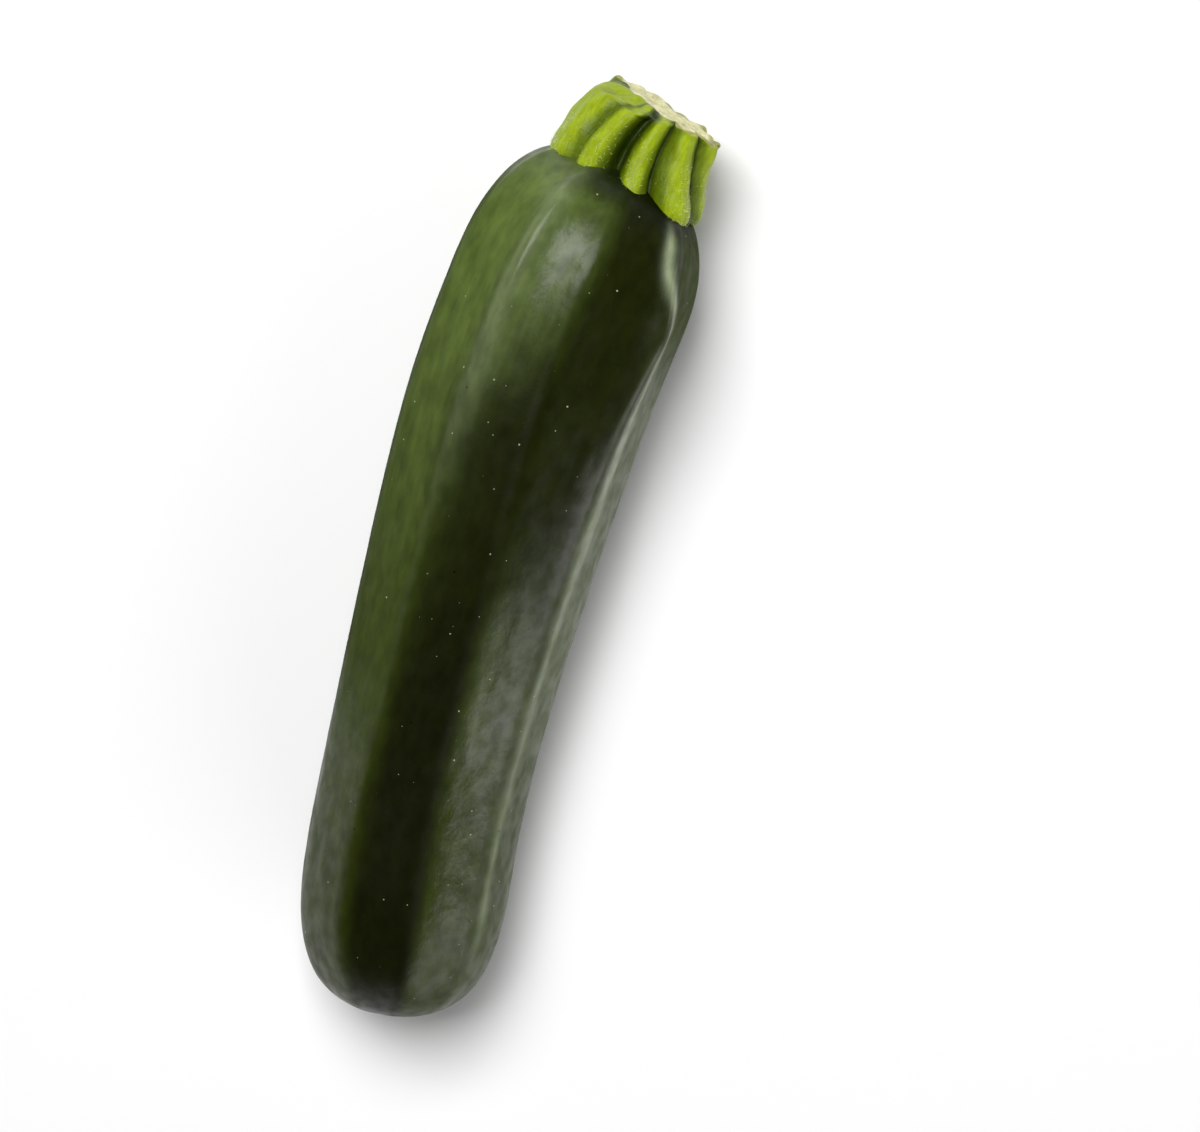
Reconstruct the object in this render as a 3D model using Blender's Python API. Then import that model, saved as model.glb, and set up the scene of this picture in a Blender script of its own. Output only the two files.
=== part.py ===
"""A long green zucchini with a cut stub of its ribbed stem, lying on its side.

Metres, +Z up. +X runs from the blossom end to the stem and +Y to the outside of the bend. The origin is on
the ground under the middle of the whole.

Angles round the fruit and its stem are counted from the top, positive towards -Y.
"""

import math

import bmesh
import bpy
import numpy as np

# The fruit's centreline, from the blossom end to its top under the stem
FRUIT_LENGTH = 0.1865
BEND_AT_BLOSSOM_END = 0.74
BEND_AT_STEM_END = 2.74
HEADING_AT_BLOSSOM_END = math.radians(7.5)
SWAY = 0.0004
SWAY_PEAK = 0.040
SWAY_PERIOD = 0.105

# The fruit's girth along that line
BLOSSOM_RADIUS = 0.0219
SHOULDER_RADIUS = 0.0247
TAPER_START = 0.044
TAPER_END = 0.140
BLOSSOM_CAP_LENGTH = 0.0320
BLOSSOM_CAP_BLUNTNESS = 2.7
STEM_CAP_LENGTH = 0.0350
STEM_CAP_BLUNTNESS = 2.65
OUTER_SHOULDER_BLUNTNESS = 3.10

# Ten flat sides round the fruit, each given by the way it faces; a ridge stands where two of them meet
FACINGS_AT_BLOSSOM_END = np.radians([-84, -54, -6, 33, 64, 104, 146, 180, 214, 250])
FACINGS_AT_STEM_END = np.radians([-82, -44, -8, 19, 78, 104, 146, 180, 214, 252])
RIDGE_SHARPNESS_AT_BLOSSOM_END = 22
RIDGE_SHARPNESS_AT_STEM_END = 60
FLUTING_AT_BLOSSOM_END = 0.55
FLUTING_AT_STEM_END = 1.9
FLUTING_START = 0.095

# The ridge beside the top sinks into the shoulder near the stem
SUNK_RIDGE = math.radians(48.5)
SUNK_RIDGE_REACH = math.radians(22)
SUNK_RIDGE_SHARE = 0.65
SUNK_RIDGE_START = 0.156
SUNK_RIDGE_END = 0.172

# The belly is a little arched, and pressed flat where it touches
PRESSED_DEPTH = 0.0003
BELLY_ARCH_RADIUS = 3.0

# The corky scar, a little below the middle of the blossom end
SCAR_DROP = 0.0030
SCAR_RADIUS = 0.0040
SCAR_HEIGHT = 0.0009
SCAR_ROOT = 0.0015
SCAR_DIMPLE = 0.0004

# The stem stub, along its own axis from the seat on the fruit's shoulder
STEM_SEAT = 0.1815
STEM_HEIGHT = 0.0191
STEM_ROOT = 0.0040
STEM_SIDE_SHIFT = -0.0009
STEM_SIDE_BOW = 0.0012
FOOT_RADIUS = 0.0183
RIM_RADIUS = 0.0145
RIM_ROUNDING = 0.0010
FIRST_RIB_END_ROUNDING = 0.0032
FIRST_RIB_END_SPAN = 0.5
FIRST_RIB_END_DROP = 0.0024
CUT_SLANT_SIDEWAYS = math.radians(6.0)
CUT_SLANT_UPWARDS = math.radians(3.5)
CUT_DISH = 0.0008

# The stem's ten ribs: where each one stands and how far it rises over the cone, at the foot and at the cut, and
# the groove after it: how deep as a share of the deepest, and how wide, where more than 1 is a round hollow
RIBS_AT_FOOT = np.radians([-66, -33, 3, 46, 106, 132, 160, 192, 226, 262])
RIBS_AT_RIM = np.radians([-48, -18, 6, 30, 61, 102, 146, 190, 232, 272])
RISES_AT_FOOT = np.array([0.6, -1.6, -3.2, 1.0, -0.4, 0.0, 0.4, -0.4, 0.2, -0.4]) * 0.001
RISES_AT_RIM = np.array([0.6, -0.3, -0.7, 0.3, 0.5, 0.0, 0.4, -0.4, 0.2, -0.4]) * 0.001
GROOVE_SHARES = np.array([0.45, 1.0, 0.75, 0.70, 0.9, 0.6, 0.9, 0.7, 0.8, 0.15])
GROOVE_WIDTHS = np.array([0.7, 1.7, 0.8, 0.7, 0.9, 0.7, 1.2, 0.7, 0.9, 0.7])
GROOVE_DEPTH_AT_FOOT = 0.0055
GROOVE_DEPTH_AT_RIM = 0.0034
TOE_TOP = 0.0025
TOE_ROUNDING = 0.0050

# Fineness of the solids, and the gap between pieces that touch
RIDGE_COUNT = len(FACINGS_AT_STEM_END)
POINTS_PER_RIDGE = 7
FRUIT_RINGS = 46
POINTS_PER_RIB = 8
SCAR_POINTS = 24
CLEARANCE = 0.0003
LINE_SAMPLES = 801


def smooth_step(x):
    """0 below 0, 1 above 1, and 3x^2 - 2x^3 between."""
    x = np.clip(x, 0.0, 1.0)
    return x * x * (3.0 - 2.0 * x)


def heading(along):
    """The centreline's direction in the XY plane: its bend grows evenly from the blossom end to the stem."""
    growth = (BEND_AT_STEM_END - BEND_AT_BLOSSOM_END) / FRUIT_LENGTH
    return HEADING_AT_BLOSSOM_END - along * (BEND_AT_BLOSSOM_END + 0.5 * growth * along)


def centreline(along):
    """X and Y of the centreline, from where it runs along X: the running sum of its direction, and a sway."""
    samples = np.linspace(0.0, FRUIT_LENGTH, LINE_SAMPLES)
    step = samples[1]
    angles = heading(samples)
    x = np.cumsum(np.cos(angles)) * step
    y = np.cumsum(np.sin(angles)) * step
    apex = np.argmin(np.abs(angles))
    sway = SWAY * np.cos(2.0 * math.pi * (samples - SWAY_PEAK) / SWAY_PERIOD)
    return np.interp(along, samples, x - x[apex]), np.interp(along, samples, y - y[apex] + sway)


def body_radius(along):
    """The girth without its rounded ends: slimmer at the blossom end, fuller at the shoulder."""
    fullness = smooth_step((along - TAPER_START) / (TAPER_END - TAPER_START))
    return BLOSSOM_RADIUS + (SHOULDER_RADIUS - BLOSSOM_RADIUS) * fullness


def cap(distance, length, bluntness):
    """A superellipse quarter: 0 at the pole, 1 from length on."""
    share = np.clip(1.0 - distance / length, 0.0, 1.0)
    return (1.0 - share**bluntness) ** (1.0 / bluntness)


def fruit_radius(along, angle=0.0):
    """The girth with its ends; the shoulder under the stem is fuller on the outside of the bend."""
    outer = np.clip(-np.sin(angle), 0.0, 1.0) ** 2
    bluntness = STEM_CAP_BLUNTNESS + (OUTER_SHOULDER_BLUNTNESS - STEM_CAP_BLUNTNESS) * outer
    blossom = cap(along, BLOSSOM_CAP_LENGTH, BLOSSOM_CAP_BLUNTNESS)
    stem = cap(FRUIT_LENGTH - along, STEM_CAP_LENGTH, bluntness)
    return body_radius(along) * blossom * stem


def centre_height(along):
    """The centreline's height: the girth below it, on a gentle arch, less what is pressed flat."""
    x, _ = centreline(along)
    return body_radius(along) + x**2 / (2.0 * BELLY_ARCH_RADIUS) - PRESSED_DEPTH


def listed_angle(number, way, first, last):
    """A listed angle on the way from one end's list to the other's; past the list starts the next turn."""
    turns, item = np.divmod(number, RIDGE_COUNT)
    return 2.0 * math.pi * turns + first[item] * (1.0 - way) + last[item] * way


def angle_at(phase, way, first, last):
    """The angle at a phase that counts the listed angles: whole numbers are those, and halves halfway."""
    number = np.floor(phase).astype(int)
    before = listed_angle(number, way, first, last)
    after = listed_angle(number + 1, way, first, last)
    return before + (after - before) * (phase - number)


def ridge_angle(phase, along):
    """The angle at a phase that counts the fruit's ridges, which stand halfway between its sides."""
    return angle_at(phase + 0.5, along / FRUIT_LENGTH, FACINGS_AT_BLOSSOM_END, FACINGS_AT_STEM_END)


def section(along, angle):
    """The section's radius over the plain girth: ten flat sides that blend into each other at the ridges.

    Each side is the line 1/cos of the angle from its facing, and the blend is their power mean. The sides
    hollow out into flutes towards the stem and swell towards the blossom end.
    """
    share = along / FRUIT_LENGTH
    sharpness = RIDGE_SHARPNESS_AT_BLOSSOM_END + share * (
        RIDGE_SHARPNESS_AT_STEM_END - RIDGE_SHARPNESS_AT_BLOSSOM_END
    )
    facings = [
        listed_angle(side, share, FACINGS_AT_BLOSSOM_END, FACINGS_AT_STEM_END) for side in range(RIDGE_COUNT)
    ]
    nearness = sum(np.clip(np.cos(angle - facing), 0.0, None) ** sharpness for facing in facings)
    sides = nearness ** (-1.0 / sharpness)
    fluting = smooth_step((along - FLUTING_START) / (FRUIT_LENGTH - FLUTING_START))
    depth = FLUTING_AT_BLOSSOM_END + (FLUTING_AT_STEM_END - FLUTING_AT_BLOSSOM_END) * fluting
    from_ridge = (angle - SUNK_RIDGE + math.pi) % (2.0 * math.pi) - math.pi
    beside = np.exp(-((from_ridge / SUNK_RIDGE_REACH) ** 2))
    sinking = smooth_step((along - SUNK_RIDGE_START) / (SUNK_RIDGE_END - SUNK_RIDGE_START))
    return 1.0 + depth * (1.0 - SUNK_RIDGE_SHARE * beside * sinking) * (sides - 1.0)


def outward(along, angle, radius, ahead=0.0):
    """A point at an angle and a radius from the centreline, and a way ahead along it, as X, Y and Z."""
    turn = heading(along)
    x, y = centreline(along)
    side = -radius * np.sin(angle)
    return np.stack(
        [
            x - side * np.sin(turn) + ahead * np.cos(turn),
            y + side * np.cos(turn) + ahead * np.sin(turn),
            centre_height(along) + radius * np.cos(angle),
        ],
        axis=-1,
    )


def fruit_point(along, angle):
    """The fruit's skin, with the flat spot underneath."""
    points = outward(along, angle, fruit_radius(along, angle) * section(along, angle))
    points[..., 2] = np.maximum(points[..., 2], 0.0)
    return points


def fruit_stations(share):
    """Places along the centreline for even steps over the skin, from pole to pole."""
    samples = 0.5 * FRUIT_LENGTH * (1.0 - np.cos(np.linspace(0.0, math.pi, LINE_SAMPLES)))
    steps = np.hypot(np.diff(samples), np.diff(fruit_radius(samples)))
    over_skin = np.concatenate([[0.0], np.cumsum(steps)])
    return np.interp(share * over_skin[-1], over_skin, samples)


def groove_depth(phase, way_up):
    """How deep the stem is cut in below its ribs: nothing on a crest, and a rounded groove between two."""
    groove = np.floor(phase).astype(int) % RIDGE_COUNT
    deepest = GROOVE_DEPTH_AT_FOOT + (GROOVE_DEPTH_AT_RIM - GROOVE_DEPTH_AT_FOOT) * way_up
    return GROOVE_SHARES[groove] * deepest * (1.0 - np.abs(np.cos(math.pi * phase)) ** GROOVE_WIDTHS[groove])


def rib_rise(phase, way_up):
    """How far the stem rises over the plain cone, from rib to rib and from the foot to the cut."""
    ribs = np.arange(RIDGE_COUNT + 1)
    at_foot = np.interp(phase, ribs, np.append(RISES_AT_FOOT, RISES_AT_FOOT[0]))
    at_rim = np.interp(phase, ribs, np.append(RISES_AT_RIM, RISES_AT_RIM[0]))
    return at_foot + (at_rim - at_foot) * way_up


def end_rounding(height, phase):
    """How far the side draws in to the cut: a quarter circle, small all round but large on the first rib."""
    from_first = np.abs((phase + 0.5 * RIDGE_COUNT) % RIDGE_COUNT - 0.5 * RIDGE_COUNT)
    wider = FIRST_RIB_END_ROUNDING - RIM_ROUNDING
    size = RIM_ROUNDING + wider * np.exp(-((from_first / FIRST_RIB_END_SPAN) ** 2))
    rise = np.clip((height - STEM_HEIGHT + size) / size, 0.0, 1.0)
    return size * (1.0 - np.sqrt(1.0 - rise**2))


def stem_point(height, phase, share):
    """The stem's side at a height over its seat: a ribbed cone that bows sideways, under a slanted cut.

    share takes the point in from the side towards the axis, for the cut face and the underside.
    """
    way_up = np.clip(height / STEM_HEIGHT, 0.0, 1.0)
    toe = TOE_ROUNDING * np.clip((TOE_TOP - height) / (TOE_TOP + STEM_ROOT), 0.0, 1.0) ** 2
    cone = FOOT_RADIUS + (RIM_RADIUS - FOOT_RADIUS) * way_up + rib_rise(phase, way_up)
    radius = share * (cone - toe - groove_depth(phase, way_up) - end_rounding(height, phase))
    angle = angle_at(phase, way_up, RIBS_AT_FOOT, RIBS_AT_RIM)
    slant = -radius * (
        np.sin(angle) * math.tan(CUT_SLANT_SIDEWAYS) + np.cos(angle) * math.tan(CUT_SLANT_UPWARDS)
    )
    towards_first = share * np.cos(angle - RIBS_AT_RIM[0])
    drop = FIRST_RIB_END_DROP * way_up**4 * smooth_step((towards_first - 0.3) / 0.6)
    seat = np.full_like(radius, STEM_SEAT)
    points = outward(seat, angle, radius, height + way_up**2 * slant - drop)
    points[..., 1] += STEM_SIDE_SHIFT + STEM_SIDE_BOW * np.sin(math.pi * way_up)
    return points


def stem_outline():
    """The stem's half section from the underside's middle to the cut's, as height and share of radius."""
    side = [(height, 1.0) for height in np.linspace(-STEM_ROOT, STEM_HEIGHT - FIRST_RIB_END_ROUNDING, 8)]
    rim = [(STEM_HEIGHT - share * FIRST_RIB_END_ROUNDING, 1.0) for share in (0.6, 0.3, 0.09, 0.0)]
    dish = STEM_HEIGHT - CUT_DISH
    face = [(0.5 * (STEM_HEIGHT + dish), 0.6), (dish, 0.25), (dish, 0.0)]
    underside = [(-STEM_ROOT, 0.0), (-STEM_ROOT, 0.6)]
    return np.array(underside + side + rim + face)


def scar_outline():
    """The scar's half section from its root to the dimple in its face, as height and share of radius."""
    root = [(-SCAR_ROOT, 0.0), (-SCAR_ROOT, 0.9)]
    rim = [(0.4 * SCAR_HEIGHT, 1.0), (0.85 * SCAR_HEIGHT, 0.92), (SCAR_HEIGHT, 0.78)]
    face = [(SCAR_HEIGHT - SCAR_DIMPLE, 0.4), (SCAR_HEIGHT - SCAR_DIMPLE, 0.0)]
    return np.array(root + rim + face)


def reshaped_ball(name, around, rings, shape):
    """A ball primitive whose points are moved by shape, which takes each point's turn round it, 0 to 1, and
    its way from pole to pole, 0 to 1.
    """
    mesh = bpy.data.meshes.new(name)
    ball = bmesh.new()
    bmesh.ops.create_uvsphere(ball, u_segments=around, v_segments=rings, radius=1.0)
    ball.to_mesh(mesh)
    ball.free()
    places = np.empty(3 * len(mesh.vertices))
    mesh.vertices.foreach_get("co", places)
    x, y, z = places.reshape(-1, 3).T
    turn = np.round(np.arctan2(-x, y) / (2.0 * math.pi) % 1.0 * around) / around
    way = np.round(np.arccos(np.clip(z, -1.0, 1.0)) / math.pi * rings) / rings
    mesh.vertices.foreach_set("co", shape(turn, way).ravel())
    mesh.update()
    turned = bmesh.new()
    turned.from_mesh(mesh)
    bmesh.ops.recalc_face_normals(turned, faces=turned.faces)
    turned.to_mesh(mesh)
    turned.free()
    return bpy.data.objects.new(name, mesh)


def finish_material(name, colour, roughness):
    material = bpy.data.materials.new(name)
    material.use_nodes = True
    shader = material.node_tree.nodes["Principled BSDF"]
    shader.inputs["Base Color"].default_value = (*colour, 1.0)
    shader.inputs["Roughness"].default_value = roughness
    shader.inputs["Metallic"].default_value = 0.0
    return material


def dressed(piece, collection, material):
    piece.data.materials.append(material)
    piece.data.shade_smooth()
    collection.objects.link(piece)
    return piece


def make_fruit(collection):
    def shape(turn, way):
        along = fruit_stations(way)
        return fruit_point(along, ridge_angle(turn * RIDGE_COUNT, along))

    fruit = reshaped_ball("fruit", RIDGE_COUNT * POINTS_PER_RIDGE, FRUIT_RINGS, shape)
    return dressed(fruit, collection, finish_material("skin", (0.035, 0.070, 0.018), 0.35))


def make_clearance(collection, fruit):
    """The fruit swollen by the gap that the stem and the scar keep to it."""
    swollen = bpy.data.objects.new("fruit_clearance", fruit.data)
    swell = swollen.modifiers.new("swell", "DISPLACE")
    swell.strength = CLEARANCE
    swell.mid_level = 0.0
    swollen.hide_render = True
    swollen.display_type = "WIRE"
    collection.objects.link(swollen)
    return swollen


def seat_on_fruit(piece, clearance):
    """Cuts the piece to the fruit under it."""
    seat = piece.modifiers.new("seat", "BOOLEAN")
    seat.operation = "DIFFERENCE"
    seat.solver = "EXACT"
    seat.object = clearance


def make_stem(collection, clearance):
    outline = stem_outline()
    last = len(outline) - 1

    def shape(turn, way):
        at = way * last
        height = np.interp(at, np.arange(last + 1), outline[:, 0])
        share = np.interp(at, np.arange(last + 1), outline[:, 1])
        return stem_point(height, turn * RIDGE_COUNT, share)

    stem = reshaped_ball("stem", RIDGE_COUNT * POINTS_PER_RIB, last, shape)
    dressed(stem, collection, finish_material("stem_rind", (0.30, 0.42, 0.035), 0.45))
    seat_on_fruit(stem, clearance)
    return stem


def make_scar(collection, clearance):
    outline = scar_outline()
    last = len(outline) - 1

    def shape(turn, way):
        at = way * last
        height = np.interp(at, np.arange(last + 1), outline[:, 0])
        share = np.interp(at, np.arange(last + 1), outline[:, 1])
        points = outward(np.zeros_like(share), 2.0 * math.pi * turn, SCAR_RADIUS * share, -height)
        points[..., 2] -= SCAR_DROP
        return points

    scar = reshaped_ball("blossom_scar", SCAR_POINTS, last, shape)
    dressed(scar, collection, finish_material("cork", (0.42, 0.28, 0.11), 0.80))
    seat_on_fruit(scar, clearance)
    return scar


def stand_over_origin(pieces, everything):
    """Moves everything level, so that the origin is under the middle of the box round the pieces."""
    depsgraph = bpy.context.evaluated_depsgraph_get()
    corners = [corner for piece in pieces for corner in piece.evaluated_get(depsgraph).bound_box]
    lowest, highest = np.min(corners, axis=0), np.max(corners, axis=0)
    middle = 0.5 * (lowest + highest)
    for item in everything:
        item.location = (-middle[0], -middle[1], 0.0)


def main():
    for old in list(bpy.data.objects):
        bpy.data.objects.remove(old)
    zucchini = bpy.data.collections.new("zucchini")
    cutters = bpy.data.collections.new("cutters")
    bpy.context.scene.collection.children.link(zucchini)
    bpy.context.scene.collection.children.link(cutters)
    fruit = make_fruit(zucchini)
    clearance = make_clearance(cutters, fruit)
    pieces = [fruit, make_stem(zucchini, clearance), make_scar(zucchini, clearance)]
    stand_over_origin(pieces, [*pieces, clearance])


main()
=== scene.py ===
"""The looks of a long dark green zucchini: its waxy skin, its ribbed stem stub and its corky blossom scar.

Metres, +Z up. +X runs from the blossom end to the stem and +Y to the outside of the bend. Angles round the
fruit and its stem are counted from the top, positive towards -Y, as in the solids.
"""

import logging
import math
from dataclasses import dataclass, field
from enum import Enum
from typing import Callable, Union

import bmesh
import bpy
import numpy as np
from mathutils import Matrix, Vector


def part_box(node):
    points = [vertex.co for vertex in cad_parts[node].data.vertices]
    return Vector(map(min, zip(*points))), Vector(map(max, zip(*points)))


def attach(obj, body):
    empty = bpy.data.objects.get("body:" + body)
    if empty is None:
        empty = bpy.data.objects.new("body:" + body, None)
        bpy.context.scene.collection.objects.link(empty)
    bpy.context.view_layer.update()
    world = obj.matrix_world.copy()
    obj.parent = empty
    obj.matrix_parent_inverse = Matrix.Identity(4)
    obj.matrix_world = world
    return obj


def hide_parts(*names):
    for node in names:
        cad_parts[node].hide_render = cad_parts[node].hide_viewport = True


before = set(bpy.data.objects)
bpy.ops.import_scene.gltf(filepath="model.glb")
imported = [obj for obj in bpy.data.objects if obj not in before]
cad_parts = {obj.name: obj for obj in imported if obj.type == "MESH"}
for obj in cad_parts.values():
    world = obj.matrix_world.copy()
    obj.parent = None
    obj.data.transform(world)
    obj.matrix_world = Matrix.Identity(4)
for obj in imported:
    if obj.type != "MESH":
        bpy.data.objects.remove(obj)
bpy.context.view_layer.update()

Colour = tuple[float, float, float]
Value = Union[bpy.types.NodeSocket, float, tuple]

FULL_TURN = 2.0 * math.pi
LOG = logging.getLogger("zucchini")


class Slot(Enum):
    """The record's material slots."""

    SKIN = "skin"
    STEM_RIND = "stem_rind"
    CORK = "cork"


class Mask(Enum):
    """The attributes that the meshes carry for their materials."""

    STRAIGHT = "straight"
    # partly the skin's own olive, partly painted light on the lit flank
    OLIVE_AND_LIGHT = "flank"
    # partly painted shade on the top side and painted sheen on the side towards the low softbox
    TONE_AND_SHADE = "tone"
    # painted shade under the stem and in the crease beside the first ridge
    PAINTED_SHADE = "painted_shade"
    GLARE = "glare"
    # painted highlights and reflections along the ridges
    LINE = "line"
    RELIEF = "relief"
    TIP = "tip"
    WAX = "wax"
    # groove depth, which paints shade in the stem's grooves
    GROOVE_SHADE = "groove"
    FLESH = "flesh"
    SPREAD = "spread"


def smooth_step(x: np.ndarray) -> np.ndarray:
    """0 below 0, 1 above 1, and 3x^2 - 2x^3 between."""
    x = np.clip(x, 0.0, 1.0)
    return x * x * (3.0 - 2.0 * x)


def bell(x: np.ndarray) -> np.ndarray:
    """The bell curve e^(-x^2): 1 in the middle, about a third at 1."""
    return np.exp(-(x**2))


def wrapped(angle: np.ndarray) -> np.ndarray:
    """An angle brought to between -180 and 180 degrees, in degrees."""
    return np.degrees((angle + math.pi) % FULL_TURN - math.pi)


@dataclass(frozen=True)
class Ripples:
    """Soft bumps of about one size, drawn out along the first axis."""

    wavelength: float
    stretch: float
    waves: int
    seed: int
    spread: tuple[float, float] = (0.7, 1.4)
    calming: float = 1.6

    def at(self, places: np.ndarray) -> np.ndarray:
        """The bumps' height, mostly between -1 and 1.

        It is the sum of plane waves in random directions, cos(k . place + phase), over a number that keeps it
        near that range.

        Args:
            places: Points, with X, Y and Z on the last axis.

        Returns:
            One height for each point.
        """
        draw = np.random.default_rng(self.seed)
        ways = draw.normal(size=(self.waves, 3))
        ways /= np.linalg.norm(ways, axis=1, keepdims=True)
        lengths = self.wavelength * draw.uniform(*self.spread, self.waves)
        numbers = ways * (FULL_TURN / lengths)[:, None] / np.array([self.stretch, 1.0, 1.0])
        phases = draw.uniform(0.0, FULL_TURN, self.waves)
        return np.cos(places @ numbers.T + phases).sum(axis=-1) / (self.calming * math.sqrt(self.waves))


def closed_surface(name: str, rings: np.ndarray, first: np.ndarray, last: np.ndarray) -> bpy.types.Mesh:
    """A closed mesh through rings of points from one pole to the other.

    Args:
        name: The mesh's name.
        rings: Points as (ring, place round it, XYZ).
        first: The pole before the first ring.
        last: The pole after the last ring.

    Returns:
        The mesh, its faces pointing out, smooth.
    """
    count, around = rings.shape[:2]
    place = np.arange(around)
    beside = (place + 1) % around
    ring = np.arange(count - 1)[:, None] * around
    quads = np.stack([ring + place, ring + beside, ring + around + beside, ring + around + place], axis=-1)
    poles = np.array([count * around, count * around + 1])
    first_fan = np.stack([np.full(around, poles[0]), beside, place], axis=-1)
    end = (count - 1) * around
    last_fan = np.stack([np.full(around, poles[1]), end + place, end + beside], axis=-1)
    vertices = np.concatenate([rings.reshape(-1, 3), first[None], last[None]])
    mesh = bpy.data.meshes.new(name)
    faces = [*first_fan.tolist(), *quads.reshape(-1, 4).tolist(), *last_fan.tolist()]
    mesh.from_pydata(vertices.tolist(), [], faces)
    shell = bmesh.new()
    shell.from_mesh(mesh)
    bmesh.ops.recalc_face_normals(shell, faces=shell.faces)
    shell.to_mesh(mesh)
    shell.free()
    mesh.shade_smooth()
    return mesh


def with_poles(values: np.ndarray) -> np.ndarray:
    """Ring values followed by the two poles' values, which are the means of the rings beside them.

    Args:
        values: Numbers or vectors as (ring, place round it, ...).

    Returns:
        The values in the order of the closed mesh's vertices.
    """
    tail = values.shape[2:]
    flat = values.reshape(-1, *tail)
    return np.concatenate([flat, values[:1].mean(axis=1), values[-1:].mean(axis=1)])


def store(mesh: bpy.types.Mesh, mask: Mask, values: np.ndarray) -> None:
    """Puts one number or one vector for each point into the mesh, under the mask's name.

    Args:
        mesh: The mesh.
        mask: The mask that names the attribute.
        values: One row for each vertex.
    """
    vector = values.ndim == 2
    attribute = mesh.attributes.new(mask.value, "FLOAT_VECTOR" if vector else "FLOAT", "POINT")
    attribute.data.foreach_set("vector" if vector else "value", values.astype(np.float32).ravel())


def placed(mesh: bpy.types.Mesh, materials: list[bpy.types.Material]) -> bpy.types.Object:
    """An object at the origin for a mesh, riding on the body and dressed with the given materials.

    Args:
        mesh: The piece's mesh, whose name it takes.
        materials: What the piece is dressed with.

    Returns:
        The object.
    """
    for material in materials:
        mesh.materials.append(material)
    piece = bpy.data.objects.new(mesh.name, mesh)
    bpy.context.scene.collection.objects.link(piece)
    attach(piece, "root")
    return piece


class Graph:
    """Writes nodes into a tree: each method adds one node, feeds it and gives back what it puts out."""

    def __init__(self, tree: bpy.types.NodeTree) -> None:
        """Takes the tree to write in."""
        self.tree = tree

    def feed(self, socket: bpy.types.NodeSocket, value: Value) -> None:
        """Links another node's output to a socket, or sets its value.

        Args:
            socket: The input.
            value: An output, a number, or a colour or vector.
        """
        if isinstance(value, bpy.types.NodeSocket):
            self.tree.links.new(value, socket)
        elif socket.type == "RGBA" and len(value) == 3:
            socket.default_value = (*value, 1.0)
        else:
            socket.default_value = value

    def node(self, kind: str, settings: dict | None = None, inputs: dict | None = None) -> bpy.types.Node:
        """Adds a node.

        Args:
            kind: The node's type.
            settings: Its properties by name.
            inputs: Values or outputs for its inputs, by name or number.

        Returns:
            The node.
        """
        node = self.tree.nodes.new(kind)
        for name, value in (settings or {}).items():
            setattr(node, name, value)
        for name, value in (inputs or {}).items():
            self.feed(node.inputs[name], value)
        return node

    def math(self, operation: str, first: Value, second: Value = 0.0, clamp: bool = False) -> Value:
        """One operation on two values."""
        settings = {"operation": operation, "use_clamp": clamp}
        return self.node("ShaderNodeMath", settings, {0: first, 1: second}).outputs[0]

    def scaled_value(self, value: Value, scale: Value) -> Value:
        """A number times a number."""
        return self.math("MULTIPLY", value, scale)

    def scaled(self, vector: Value, scale: Value) -> Value:
        """A vector times a number."""
        node = self.node("ShaderNodeVectorMath", {"operation": "SCALE"}, {0: vector, "Scale": scale})
        return node.outputs[0]

    def ramp(self, value: Value, low: Value, high: Value, start: Value = 0.0, end: Value = 1.0) -> Value:
        """A smooth step from start at low to end at high."""
        inputs = {"Value": value, 1: low, 2: high, 3: start, 4: end}
        return self.node("ShaderNodeMapRange", {"interpolation_type": "SMOOTHSTEP"}, inputs).outputs[0]

    def within(self, value: Value, limits: tuple[float, float]) -> Value:
        """A value from 0 to 1 brought smoothly to between two limits."""
        return self.ramp(value, 0.0, 1.0, *limits)

    def mix(self, share: Value, first: Value, second: Value) -> Value:
        """A mix of two colours."""
        inputs = {0: share, 6: first, 7: second}
        return self.node("ShaderNodeMix", {"data_type": "RGBA"}, inputs).outputs[2]

    def attribute(self, mask: Mask) -> Value:
        """What the mesh carries under a mask's name."""
        node = self.node("ShaderNodeAttribute", {"attribute_name": mask.value})
        return node.outputs["Vector" if mask is Mask.STRAIGHT else "Fac"]

    def effect(self, group: bpy.types.NodeTree, **inputs: Value) -> Value:
        """The first output of a shared node group with its own values."""
        return self.node("ShaderNodeGroup", {"node_tree": group}, inputs).outputs[0]

    def bump(self, height: Value, distance: float, under: Value | None = None) -> Value:
        """A normal pushed by a height between 0 and 1, which stands for a distance.

        Args:
            height: The height.
            distance: The distance that a height of 1 stands for.
            under: Another bump's normal that this one lies on.

        Returns:
            The normal's socket.
        """
        inputs = {"Height": height, "Distance": distance, "Strength": 1.0}
        if under is not None:
            inputs["Normal"] = under
        return self.node("ShaderNodeBump", None, inputs).outputs[0]


def new_group(name: str, inputs: dict[str, str], output: str) -> tuple[Graph, Callable[[str], Value], Value]:
    """An empty node group with named inputs and one number as its output.

    Args:
        name: The group's name.
        inputs: Socket types by input name.
        output: The output's name.

    Returns:
        The graph to write in, a function that gives an input's socket by name, and the output's socket.
    """
    tree = bpy.data.node_groups.new(name, "ShaderNodeTree")
    for label, kind in inputs.items():
        tree.interface.new_socket(label, in_out="INPUT", socket_type=kind)
    tree.interface.new_socket(output, in_out="OUTPUT", socket_type="NodeSocketFloat")
    graph = Graph(tree)
    entry = graph.node("NodeGroupInput")
    exit_node = graph.node("NodeGroupOutput")
    return graph, lambda label: entry.outputs[label], exit_node.inputs[output]


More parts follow.
